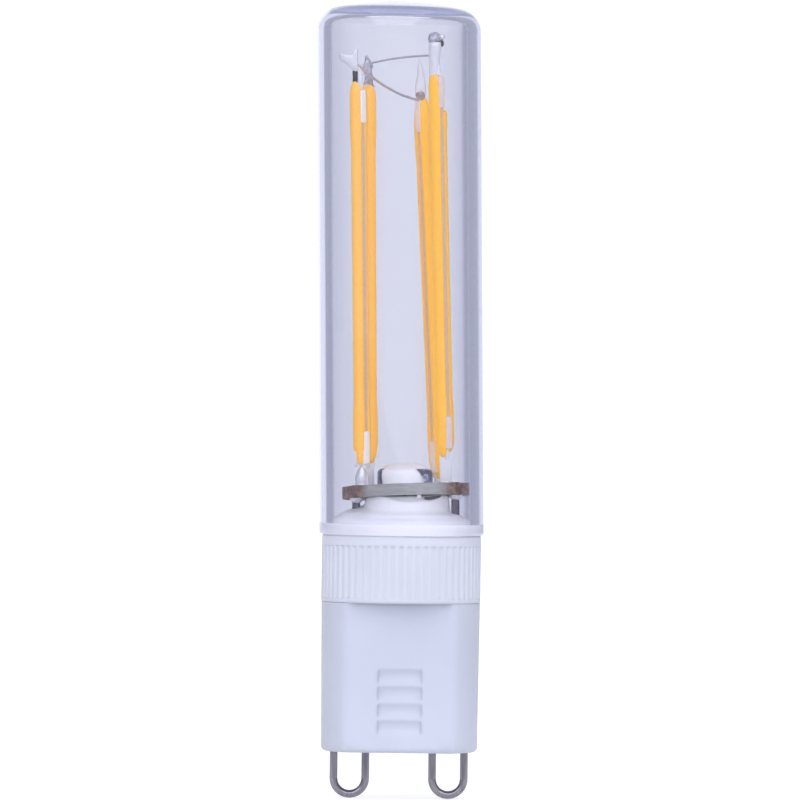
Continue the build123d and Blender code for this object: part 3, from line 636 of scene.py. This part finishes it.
def stage_white():
    """Pale floor and backdrop, lit up white behind the bulb and softer away from it."""
    material = Material("stage_white", roughness=0.9)
    material.clouds(0.4, (0.40, 0.40, 0.41), (0.42, 0.42, 0.43))
    nearness = material.span(material.axis("Y"), 0.0, BACKDROP_DISTANCE, 1.0, 1 / CARD_SPREAD)
    across = material.times(material.axis("X"), nearness)
    upward = material.times(material.axis("Z"), nearness)
    right = material.span(across, CARD_RIGHT, CARD_RIGHT + CARD_FADE, 1.0, 0.0)
    left = material.span(across, CARD_LEFT - CARD_FADE, CARD_LEFT)
    behind = material.span(material.axis("Y"), *CARD_START)
    below = material.span(upward, CARD_TOP, CARD_TOP + CARD_TOP_FADE, 1.0, 0.0)
    card = material.times(material.times(left, right), material.times(behind, below))
    tone = material.ramp(card, [(0.0, (0.9, 0.95, 1.2)), (1.0, (1.0, 1.0, 1.0))])
    material.links.new(tone, material.shader.inputs["Emission Color"])
    glow = material.span(card, 0.0, 1.0, DIM_GLOW, CARD_GLOW)
    lift = material.span(material.axis("Y"), LIFT_START, BACKDROP_DISTANCE - STAGE_BEND, 1.0, FAR_LIFT)
    material.links.new(material.times(glow, lift), material.shader.inputs["Emission Strength"])
    return material.data


def turned(x, y):
    """A turn about X and then about the new Y, in degrees."""
    return Matrix.Rotation(math.radians(x), 4, "X") @ Matrix.Rotation(math.radians(y), 4, "Y")


def moved(x, y, z):
    return Matrix.Translation((x, y, z))


TOWER = moved(0, 0, SEAT) @ turned(0, -GLASS_LEAN)
BOARD_TOP = TOWER @ moved(0, 0, BOARD_HEIGHT) @ turned(-BOARD_PITCH, -BOARD_ROLL)


def standing(place, x_direction, z_direction):
    """A frame at a place, with its Z and, as near as it can be, its X along two directions."""
    z = Vector(z_direction).normalized()
    y = z.cross(Vector(x_direction)).normalized()
    x = y.cross(z)
    frame_matrix = Matrix((x, y, z)).transposed().to_4x4()
    frame_matrix.translation = place
    return frame_matrix


def foot_place(name, height):
    placing = PLACINGS[name]
    bearing = math.radians(placing["bearing"])
    across = BOARD_SHIFT + FOOT_RADIUS * math.cos(bearing)
    return (BOARD_TOP @ moved(across, FOOT_RADIUS * math.sin(bearing), height)).translation


def filament_line(name):
    """Direction of a filament from its foot to its head."""
    lean_x, lean_y = PLACINGS[name]["lean"]
    return TOWER.to_3x3() @ Vector((lean_x, lean_y, FILAMENT_LENGTH)).normalized()


def strip_frame(name):
    """Frame at the lower end of a filament: X across its strip, Z along it."""
    turn = math.radians(PLACINGS[name]["turn"])
    x_direction = (math.cos(turn), -math.sin(turn), 0)
    return standing(foot_place(name, PLACINGS[name]["rise"]), x_direction, filament_line(name))


def front_frame(name, height):
    """Frame on a filament's line at a height over its lower end, facing the front."""
    place = foot_place(name, PLACINGS[name]["rise"]) + height * filament_line(name)
    return standing(place, (1, 0, 0), filament_line(name))


def rough(point, size, height):
    """A point pushed about by smooth noise with features of one size."""
    return Vector(point) + height * noise.noise_vector(Vector(point) / size)


def circle(segments):
    """Directions all round, as (cosine, sine)."""
    angles = [2 * math.pi * step / segments for step in range(segments)]
    return [(math.cos(angle), math.sin(angle)) for angle in angles]


def round_ring(middle, radius, height, segments, lumps, lump_size):
    """A level ring about an upright line, pushed about by lumps."""
    across, depth = middle
    ring = []
    for x, y in circle(segments):
        ring.append(rough((across + radius * x, depth + radius * y, height), lump_size, lumps))
    return ring


def smooth_loop(corners, steps=6):
    """A closed smooth line through corners given in the plane."""
    loop = []
    count = len(corners)
    for index in range(count):
        a, b, c, d = (Vector(corners[(index + k) % count]) for k in (-1, 0, 1, 2))
        for step in range(steps):
            t = step / steps
            pull = (c - a) * t + (2 * a - 5 * b + 4 * c - d) * t**2 + (3 * b - a - 3 * c + d) * t**3
            loop.append(b + pull / 2)
    return loop


def claim(thing, nodes):
    """Bring a piece into the scene, on the only body, in place of CAD nodes."""
    bpy.context.collection.objects.link(thing)
    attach(thing, "root")
    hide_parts(*nodes)


class Sculpt:
    """A mesh put together from skins, pillows and blocks, in millimetres."""

    def __init__(self, frame_matrix=Matrix()):
        self.mesh = bmesh.new()
        self.frame = frame_matrix

    def vertex(self, point):
        return self.mesh.verts.new(self.frame @ Vector(point))

    def face(self, corners, finish):
        self.mesh.faces.new(corners).material_index = finish

    def skin(self, rings, start=None, end=None, wrap=False, finish=0):
        """A surface through rings of points, closed by a point at either end or by joining the ends."""
        rows = [[self.vertex(point) for point in ring] for ring in rings]
        pairs = list(zip(rows, rows[1:]))
        if wrap:
            pairs.append((rows[-1], rows[0]))
        for low, high in pairs:
            for index in range(len(low)):
                after = (index + 1) % len(low)
                self.face((low[index], low[after], high[after], high[index]), finish)
        for tip, row in ((start, rows[0]), (end, rows[-1])):
            if tip is not None:
                tip_vertex = self.vertex(tip)
                for index in range(len(row)):
                    self.face((row[index], row[(index + 1) % len(row)], tip_vertex), finish)

    def pillow(self, corners, centre, bulge, depth=0.0, crumple=0.0, finish=0):
        """A swollen plate with round edges. Its corners and centre are (across, up)."""
        middle = Vector(centre)
        loop = smooth_loop(corners)
        rings = []
        for side, order in ((-1, PILLOW_LEVELS), (1, PILLOW_LEVELS[-2::-1])):
            for level in order:
                swell = depth + side * bulge * math.sqrt(1 - level**4)
                ring = []
                for corner in loop:
                    across, up = middle + (corner - middle) * level
                    ring.append(rough((across, swell, up), CRUMPLE_SIZE, crumple))
                rings.append(ring)
        tips = [rough((middle.x, depth + side * bulge, middle.y), CRUMPLE_SIZE, crumple) for side in (-1, 1)]
        self.skin(rings, *tips, finish=finish)

    def turned_form(self, profile, middle, segments, lumps=0.0, finish=0):
        """A round form about an upright line: a list of (radius, height), with radius 0 at both ends."""
        rings = []
        for radius, height in profile[1:-1]:
            rings.append(round_ring(middle, radius, height, segments, lumps, LUMP_SIZE))
        self.skin(rings, (*middle, profile[0][1]), (*middle, profile[-1][1]), finish=finish)

    def block(self, size, middle, rounding, frame_matrix, finish=0):
        """A block with rounded edges in a frame of its own."""
        place = frame_matrix @ moved(*middle) @ Matrix.Diagonal((*size, 1))
        others = set(self.mesh.faces)
        made = bmesh.ops.create_cube(self.mesh, size=1.0, matrix=place)
        edges = dict.fromkeys(edge for vertex in made["verts"] for edge in vertex.link_edges)
        bmesh.ops.bevel(self.mesh, geom=list(edges), offset=rounding, segments=3, profile=0.5, affect="EDGES")
        for face in self.mesh.faces:
            if face not in others:
                face.material_index = finish

    def piece(self, name, materials, nodes, smoothing=0):
        """Turn the mesh into a piece that stands for CAD nodes."""
        bmesh.ops.recalc_face_normals(self.mesh, faces=self.mesh.faces)
        bmesh.ops.scale(self.mesh, vec=(MM, MM, MM), verts=self.mesh.verts)
        data = bpy.data.meshes.new(name)
        self.mesh.to_mesh(data)
        self.mesh.free()
        data.polygons.foreach_set("use_smooth", [True] * len(data.polygons))
        for material in materials:
            data.materials.append(material)
        thing = bpy.data.objects.new(name, data)
        if smoothing:
            thing.modifiers.new("smooth", "SUBSURF").levels = smoothing
            thing.modifiers["smooth"].render_levels = smoothing
        claim(thing, nodes)


def side_of(angle):
    """Direction in the plane, with the angle counted from the front round to the right."""
    return math.sin(angle), -math.cos(angle)


def around(angle, values):
    """A value that changes smoothly from side to side: right, front, left and back."""
    x, y = side_of(angle)
    weights = (max(x, 0) ** 2, max(-y, 0) ** 2, max(-x, 0) ** 2, max(y, 0) ** 2)
    return sum(weight * value for weight, value in zip(weights, values))


def step_between(value, low, high):
    """0 below a low value, 1 above a high one, and smooth between."""
    t = min(max((value - low) / (high - low), 0), 1)
    return t * t * (3 - 2 * t)


def capsule_rows(radius, top, dome_radius, corner):
    """Rings of a domed rod from just below its crown down to the straight wall."""
    centre = Vector((-DOME_SHIFT, 0, top - dome_radius))
    up = Vector((0, 0, 1))
    rows = [[] for _ in range(2 * ARC_STEPS)]
    for x, y in circle(GLASS_SEGMENTS):
        outward = Vector((x, y, 0))
        pivot = outward * (radius - corner)
        flat = Vector((pivot.x - centre.x, pivot.y, 0)).length
        pivot.z = centre.z + math.sqrt((dome_radius - corner) ** 2 - flat**2)
        edge = (pivot - centre).normalized()
        for row in range(ARC_STEPS):
            part = (row + 1) / ARC_STEPS
            rows[row].append(centre + up.slerp(edge, part) * dome_radius)
            rows[ARC_STEPS + row].append(pivot + edge.slerp(outward, part) * corner)
    return rows


def wall_row(radius, height, follow_seat):
    """A ring of the straight wall, level with the seat where the wall stands on it."""
    slope = math.tan(math.radians(GLASS_LEAN)) if follow_seat else 0
    return [(radius * x, radius * y, height - radius * x * slope) for x, y in circle(GLASS_SEGMENTS)]


def glass(material):
    """The blown capsule, as one closed wall with a rounded rim."""
    rows = capsule_rows(GLASS_RADIUS, DOME_OUTSIDE, DOME_RADIUS, OUTER_CORNER)
    rows += [wall_row(GLASS_RADIUS, height, False) for height in WALL_HEIGHTS]
    for step in range(RIM_STEPS + 1):
        angle = math.pi / 2 * step / RIM_STEPS
        radius = GLASS_RADIUS - RIM_RADIUS * (1 - math.cos(angle))
        rows.append(wall_row(radius, RIM_RADIUS * (1 - math.sin(angle)), True))
    rows.append(wall_row(BORE_RADIUS + BORE_EDGE, 0, True))
    rows.append(wall_row(BORE_RADIUS, BORE_EDGE, True))
    rows += [wall_row(BORE_RADIUS, height, False) for height in reversed(WALL_HEIGHTS)]
    inner_dome = DOME_RADIUS - DOME_OUTSIDE + DOME_INSIDE
    rows += reversed(capsule_rows(BORE_RADIUS, DOME_INSIDE, inner_dome, INNER_CORNER))
    shape = Sculpt(TOWER)
    shape.skin(rows, (-DOME_SHIFT, 0, DOME_OUTSIDE), (-DOME_SHIFT, 0, DOME_INSIDE))
    shape.piece("glass_capsule", [material], ["glass_envelope"])


def under_board(x, y):
    """Height of the filament board's lower face, in the leaning frame."""
    tilt = math.tan(math.radians(BOARD_ROLL)) * x - math.tan(math.radians(BOARD_PITCH)) * y
    return BOARD_HEIGHT - BOARD_THICKNESS + tilt


def neck_profile(angle):
    """Section of the silicone mound at one angle, as (radius, height)."""
    x, y = side_of(angle)
    boss = around(angle, BOSS_RADII)
    junction = around(angle, JUNCTION_HEIGHTS)
    slope = around(angle, SLOPE_HEIGHTS)
    shelf = around(angle, SHELF_HEIGHTS)
    outer = BORE_RADIUS + 0.03
    top = under_board(boss * x, boss * y)
    dip = 0.0
    if y < 0:
        dip = DIP_DEPTH * max(0, 1 - ((boss * x - DIP_MIDDLE) / DIP_HALF_WIDTH) ** 2)
    inner = CAN_RADIUS + 0.05 + CAN_SHIFT * x
    inner_top = under_board(inner * x, inner * y)
    groove = max(boss - 0.55, inner + 0.2)
    groove_top = under_board(groove * x, groove * y)
    return [
        (inner, inner_top),
        (groove, groove_top),
        ((groove + boss) / 2, (groove_top + top) / 2 - 0.75 * dip),
        (boss - 0.12, top - dip),
        (boss + 0.02, top - dip - 0.14),
        (boss + 0.06, (top - dip + junction) / 2 + 0.1),
        (boss + 0.1, junction + 0.2),
        (boss + 0.38, junction - 0.02),
        ((boss + outer) / 2 + 0.1, slope),
        (outer - 0.5, shelf),
        (outer - 0.16, shelf - 0.22),
        (outer, shelf - 0.6),
        (outer, 0.6),
        (outer, 0.08),
        (outer - 0.04, 0.04),
        (MOUTH_RADIUS, 0.02),
        (MOUTH_RADIUS, -0.2),
        (MOUTH_RADIUS, -MOUTH_DEPTH),
        (inner, -MOUTH_DEPTH),
    ]


def neck_silicone(material, dark):
    """The silicone mound that bonds the glass, the base and the foot of the capacitor."""
    sections = [neck_profile(angle) for angle in SILICONE_ANGLES]
    rings = []
    for row in range(len(sections[0])):
        ring = []
        for angle, section in zip(SILICONE_ANGLES, sections):
            radius, height = section[row]
            x, y = side_of(angle)
            lumps = NECK_LUMPS if row in NECK_LUMPY_ROWS else 0.0
            ring.append(rough((radius * x, radius * y, height), NECK_LUMP_SIZE, lumps))
        rings.append(ring)
    shape = Sculpt(TOWER)
    shape.skin(rings, wrap=True)
    # The dark sheet paints the shadow under the board, and the white blob stands in for a highlight
    shape.pillow(GAP_SHADOW_CORNERS, GAP_SHADOW_MIDDLE, bulge=0.1, depth=GAP_SHADOW_DEPTH, finish=DARK)
    shape.pillow(strip_corners(*HIGHLIGHT_BLOB_EDGES), HIGHLIGHT_BLOB_MIDDLE, bulge=0.14, depth=HIGHLIGHT_BLOB_DEPTH)
    shape.piece("neck_silicone", [material, dark], ["neck_adhesive"], smoothing=2)


def can_silicone(material):
    """The silicone over the capacitor, running down to the board at the front and the back."""
    sides = [side_of(angle) for angle in SILICONE_ANGLES]
    rings = [[(radius * x, radius * y, height) for x, y in sides] for radius, height in CAP_CROWN]
    for row, height in enumerate(SKIRT_HEIGHTS):
        down = row / (len(SKIRT_HEIGHTS) - 1)
        spread = SKIRT_RIGHT_SPREAD * down
        thickness = SKIRT_THICKNESS + SKIRT_SWELL * math.sin(math.pi * min(down * 1.3, 1))
        bare = -BARE_TOP_DEPTH if row == 0 else -BARE_DEPTH
        ring = []
        for angle, (x, y) in zip(SILICONE_ANGLES, sides):
            degrees = math.degrees(angle)
            from_left = step_between(degrees, *SKIRT_LEFT_EDGE)
            past_right = step_between(degrees - spread, *SKIRT_RIGHT_EDGE)
            behind = step_between(abs(degrees), *SKIRT_BACK_EDGE)
            covered = max(from_left * (1 - past_right), behind)
            radius = CAN_RADIUS + bare + (thickness - bare) * covered
            drop = BARE_TOP_DROP * (1 - covered) if row == 0 else 0
            point = (radius * x, radius * y, height - drop)
            ring.append(rough(point, SKIRT_LUMP_SIZE, SKIRT_LUMPS * covered))
        rings.append(ring)
    shape = Sculpt(moved(CAN_SHIFT, 0, 0))
    shape.skin(rings, (0, 0, CAP_APEX), (0, 0, SKIRT_HEIGHTS[-1]))
    shape.piece("can_silicone", [material], ["capacitor_adhesive"], smoothing=2)


def strip_corners(left, right, low, high):
    """Corners of an upright strip, with more of them near its ends to keep it straight."""
    step = 0.18 * (right - left)
    return [
        (left + step, low), (right - step, low), (right, low + step), (right, (low + high) / 2),
        (right, high - step), (right - step, high), (left + step, high), (left, high - step),
        (left, (low + high) / 2), (left, low + step),
    ]


def flag(shape):
    """Sheet end folded out to one side like a flag, with a bright neck and a fold painted dark as its shade.
    """
    shape.pillow(FLAG_CORNERS, FLAG_MIDDLE, bulge=0.2, depth=-0.1)
    shape.pillow(strip_corners(*FLAG_NECK), FLAG_NECK_MIDDLE, bulge=0.14, depth=-0.42)
    shape.pillow(strip_corners(*FLAG_FOLD), FLAG_FOLD_MIDDLE, bulge=0.1, depth=-0.06, finish=PAINTED_DARK)


def eyelet(shape):
    """Crumpled sheet end that the upper wire is hooked into."""
    shape.pillow(EYELET_CORNERS, EYELET_MIDDLE, bulge=0.2, crumple=0.24, finish=DULL)


def barrel(shape):
    """Sheet end rolled into a barrel that widens upwards, with a rough soldered top."""
    for sections, lumps, finish in ((BARREL_SECTIONS, 0.0, BRIGHT), (KNOB_SECTIONS, KNOB_LUMPS, DULL)):
        rings = []
        for height, across, radius in sections:
            rings.append(round_ring((across, 0), radius, height, BARREL_SEGMENTS, lumps, BARREL_LUMP_SIZE))
        low_height, low_across, _ = sections[0]
        high_height, high_across, _ = sections[-1]
        low_tip = (low_across, 0, low_height)
        high_tip = (high_across, 0, high_height + BARREL_TIP)
        shape.skin(rings, low_tip, high_tip, finish=finish)


def leaf(shape):
    """Pointed sheet end, swollen along its middle."""
    shape.pillow(LEAF_CORNERS, LEAF_MIDDLE, bulge=0.3, depth=-0.05)


HEADS = {"front_left": flag, "front_right": barrel, "back_left": eyelet, "back_right": leaf}


def lobe(shape, side, low, low_taper, inset, high_taper):
    """One half-round bead on a face of the strip, drawn in at its two ends."""
    high = FILAMENT_LENGTH - inset
    straight = high - high_taper - low - low_taper
    ends = [1 - math.cos(math.pi / 2 * (step + 0.5) / TAPER_STEPS) for step in range(TAPER_STEPS)]
    heights = [low + low_taper * end for end in ends]
    heights += [low + low_taper + straight * step / LOBE_STEPS for step in range(LOBE_STEPS + 1)]
    heights += [high - high_taper * end for end in reversed(ends)]
    face = side * STRIP_SIZE[1] / 2
    rings = []
    for height in heights:
        drawn = 1.0
        out = 0.0
        low_end = (height - low, low_taper, LOW_MIDDLE)
        high_end = (high - height, high_taper, HIGH_MIDDLE)
        for gone, taper, middle in (low_end, high_end):
            if gone < taper:
                drawn = (1 - (1 - gone / taper) ** 2) ** 0.5
                out = middle * (1 - drawn)
        slimmer = step_between(min(height, FILAMENT_LENGTH - height), *BEAD_SWELL)
        radius = drawn * (BEAD_END_RADIUS + (BEAD_RADIUS - BEAD_END_RADIUS) * slimmer)
        ring = []
        for step in range(LOBE_SEGMENTS + 1):
            angle = math.pi * step / LOBE_SEGMENTS
            ring.append((radius * math.cos(angle), face + side * (out + radius * math.sin(angle)), height))
        rings.append(ring)
    shape.skin(rings, (0, face + side * LOW_MIDDLE, low), (0, face + side * HIGH_MIDDLE, high))


def filaments(amber, ceramic):
    """The beads, and the strips between them with their chips."""
    for name in FILAMENTS:
        place = strip_frame(name)
        beads = Sculpt(place)
        behind, before = LOBES[name]
        lobe(beads, 1, *behind)
        lobe(beads, -1, *before)
        if name == "front_left":
            beads.turned_form(TIP_PROFILE, TIP_MIDDLE, segments=20)
        beads.piece(name + "_beads", [amber], [name + "_inner_bead", name + "_outer_bead"])
        strip = Sculpt()
        length = FILAMENT_LENGTH - 2 * STRIP_INSET
        strip.block((*STRIP_SIZE, length), (0, 0, FILAMENT_LENGTH / 2), STRIP_ROUNDING, place)
        for chip in range(CHIPS):
            height = STRIP_INSET + length * (chip + 0.5) / CHIPS
            strip.block(CHIP_SIZE, (0, 0, height), STRIP_ROUNDING, place)
        strip.piece(name + "_strip", [ceramic], [name + "_substrate"])


def filament_ends(metals):
    """Clips, bent heads and standing tongues at the ends of the four filaments."""
    for name in FILAMENTS:
        strip = strip_frame(name)
        low_inset, high_inset = CLIP_INSETS[name]
        half_clip = CLIP_SIZE[2] / 2
        head = Sculpt(front_frame(name, FILAMENT_LENGTH))
        HEADS[name](head)
        top = FILAMENT_LENGTH - high_inset
        head.block(CLIP_SIZE, (0, 0, top - half_clip), CLIP_ROUNDING, strip, finish=PLATED)
        head.block(STUB_SIZE, (0, 0, top + STUB_REACH), STUB_ROUNDING, strip)
        head.piece(name + "_head", metals, [name + "_top_tab"])
        front = front_frame(name, 0)
        foot = Sculpt(front)
        left, right = TONGUES[name]
        low = -PLACINGS[name]["rise"] - TONGUE_SINK
        size = (right - left, TONGUE_THICKNESS, TONGUE_TOP - low)
        middle = ((left + right) / 2, TONGUE_DEPTH, (low + TONGUE_TOP) / 2)
        foot.block(size, middle, TONGUE_ROUNDING, front)
        if name == "front_left":
            foot.pillow(strip_corners(*EAR_EDGES), EAR_MIDDLE, bulge=0.08, depth=-0.25)
        foot.block(CLIP_SIZE, (0, 0, low_inset + half_clip), CLIP_ROUNDING, strip, finish=PLATED)
        foot.block(STUB_SIZE, (0, 0, low_inset - STUB_REACH), STUB_ROUNDING, strip)
        foot.piece(name + "_foot", metals, [name + "_bottom_tab"])


def jumper(material):
    """The lower jumper, a thin wire in a slack curve from the flag to the knot."""
    curve = bpy.data.curves.new("slack_jumper", "CURVE")
    curve.dimensions = "3D"
    curve.bevel_depth = JUMPER_RADIUS * MM
    curve.bevel_resolution = 4
    curve.use_fill_caps = True
    spline = curve.splines.new("NURBS")
    spline.points.add(len(LOWER_JUMPER) - 1)
    for point, place in zip(spline.points, LOWER_JUMPER):
        point.co = (*(TOWER @ Vector(place) * MM), 1)
    spline.order_u = 3
    spline.use_endpoint_u = True
    curve.materials.append(material)
    claim(bpy.data.objects.new("slack_jumper", curve), ["lower_jumper"])


def head_solder(tin, painted_dark, knot):
    """Solder on the barrel's shoulder, with a dark blob below it that is painted shade, and the knot at the
    root of the leaf.
    """
    shape = Sculpt(front_frame("front_right", FILAMENT_LENGTH))
    shape.turned_form(BALL_PROFILE, (0.48, -0.12), segments=24, lumps=0.05)
    shape.turned_form(BALL_SHADE_PROFILE, (0.43, -0.1), segments=20, lumps=0.06, finish=BALL_SHADE)
    shape.frame = front_frame("back_right", FILAMENT_LENGTH)
    shape.turned_form(KNOT_PROFILE, (-0.02, -0.3), segments=28, lumps=0.1, finish=KNOTTED)
    shape.piece("head_solder", [tin, painted_dark, knot], ["tab_solder"])


def board_solder(tin):
    """Solder at the four feet on the board. The front left one is drawn up into a drop."""
    shape = Sculpt(front_frame("front_left", 0))
    shape.turned_form(DROP_PROFILE, (-0.04, -0.2), segments=36, lumps=0.02)
    for name in FILAMENTS[1:]:
        low = -PLACINGS[name]["rise"]
        fillet = [(radius, low + height) for radius, height in FILLET_PROFILE]
        shape.frame = front_frame(name, 0)
        shape.turned_form(fillet, (0, 0.3), segments=28, lumps=0.04)
    shape.piece("board_solder", [tin], ["foot_solder"])


def dress_all():
    """Give every CAD node its material, and build the pieces that replace some of them."""
    amber = phosphor()
    ceramic = strip_ceramic()
    metal = tab_metal()
    tin = solder()
    amber_reflecting_wire = jumper_wire("amber_reflecting_wire", -3.0 * MM, 0.0)
    white = silicone()
    clear = clear_glass()
    nodes_of = {
        white_plastic(): ["base_housing"],
        pin_wire(): ["left_pin", "right_pin", "left_feed_lead", "right_feed_lead"],
        clear: ["glass_envelope"],
        white: ["neck_adhesive", "capacitor_adhesive"],
        board_laminate(): ["filament_board", "driver_board"],
        can_sleeve(): ["storage_capacitor"],
        tin: ["lead_solder", "foot_solder", "tab_solder", "driver_solder"],
        jumper_wire("grey_wire", -4.0 * MM, -2.5 * MM): ["upper_jumper"],
        amber_reflecting_wire: ["lower_jumper"],
        black_moulding(): ["bridge_rectifier", "driver_chip", "fuse_resistor"],
        ceramic: [name + "_substrate" for name in FILAMENTS],
        amber: [name + end for name in FILAMENTS for end in ("_inner_bead", "_outer_bead")],
        metal: [name + end for name in FILAMENTS for end in ("_top_tab", "_bottom_tab")],
    }
    for material, nodes in nodes_of.items():
        for node in nodes:
            NODES[node].data.materials.clear()
            NODES[node].data.materials.append(material)
    glass(clear)
    painted_dark = painted_shade_metal()
    neck_silicone(white, painted_dark)
    can_silicone(white)
    filaments(amber, ceramic)
    filament_ends([metal, clip_plate(), painted_dark, dull_tin()])
    jumper(amber_reflecting_wire)
    head_solder(tin, painted_dark, copper_knot())
    board_solder(tin)


def stage():
    """A floor that bends up into a backdrop."""
    profile = [(-STAGE_REACH, FLOOR_HEIGHT)]
    for step in range(STAGE_STEPS + 1):
        angle = math.pi / 2 * step / STAGE_STEPS
        depth = BACKDROP_DISTANCE - STAGE_BEND + STAGE_BEND * math.sin(angle)
        height = FLOOR_HEIGHT + STAGE_BEND - STAGE_BEND * math.cos(angle)
        profile.append((depth, height))
    profile.append((BACKDROP_DISTANCE, STAGE_REACH))
    points = [(side * STAGE_REACH, depth, height) for depth, height in profile for side in (-1, 1)]
    faces = [(first, first + 1, first + 3, first + 2) for first in range(0, len(points) - 2, 2)]
    mesh = bpy.data.meshes.new("stage")
    mesh.from_pydata(points, [], faces)
    mesh.polygons.foreach_set("use_smooth", [True] * len(faces))
    mesh.materials.append(stage_white())
    sheet = bpy.data.objects.new("stage", mesh)
    bpy.context.collection.objects.link(sheet)


def lights():
    """Rectangular lamps that face the bulb."""
    for name, (place, size, power, seen) in LAMPS.items():
        light = bpy.data.lights.new(name, "AREA")
        light.shape = "RECTANGLE"
        light.size, light.size_y = size
        light.energy = power
        lamp = bpy.data.objects.new(name, light)
        lamp.location = place
        toward = Vector(LAMP_TARGET) - lamp.location
        lamp.rotation_euler = toward.to_track_quat("-Z", "Y").to_euler()
        lamp.visible_glossy = seen
        lamp.visible_transmission = seen
        bpy.context.collection.objects.link(lamp)


def studio():
    """Surroundings that are brightest in front, a little less so at the shoulders, and dim elsewhere."""
    world = bpy.data.worlds.new("studio")
    world.use_nodes = True
    tree = Tree(world.node_tree, "Generated")
    sideways = tree.times(tree.axis("X"), tree.axis("X"))
    to_shoulder = tree.span(sideways, *SHOULDER_EDGE)
    added = tree.calculate("MULTIPLY_ADD", to_shoulder, SHOULDER_FILL - FRONT_FILL, FRONT_FILL - SIDE_FILL)
    before = tree.span(tree.axis("Y"), *FRONT_EDGE, 1.0, 0.0)
    background = tree.nodes["Background"]
    background.inputs["Color"].default_value = (0.97, 0.98, 1.0, 1)
    strength = tree.calculate("MULTIPLY_ADD", added, before, SIDE_FILL)
    tree.links.new(strength, background.inputs["Strength"])
    bpy.context.scene.world = world


def camera():
    data = bpy.data.cameras.new("camera")
    data.sensor_width = SENSOR
    data.lens = SENSOR * CAMERA_DISTANCE / FRAME_WIDTH
    thing = bpy.data.objects.new("camera", data)
    thing.location = (CAMERA_ACROSS, -CAMERA_DISTANCE, CAMERA_HEIGHT)
    thing.rotation_euler = (math.pi / 2, math.radians(CAMERA_ROLL), 0)
    bpy.context.collection.objects.link(thing)
    bpy.context.scene.camera = thing


dress_all()
stage()
lights()
studio()
camera()
bpy.context.scene.view_settings.view_transform = "Standard"
bpy.context.scene.cycles.max_bounces = 32
bpy.context.scene.cycles.glossy_bounces = 24
bpy.context.scene.cycles.transmission_bounces = 32
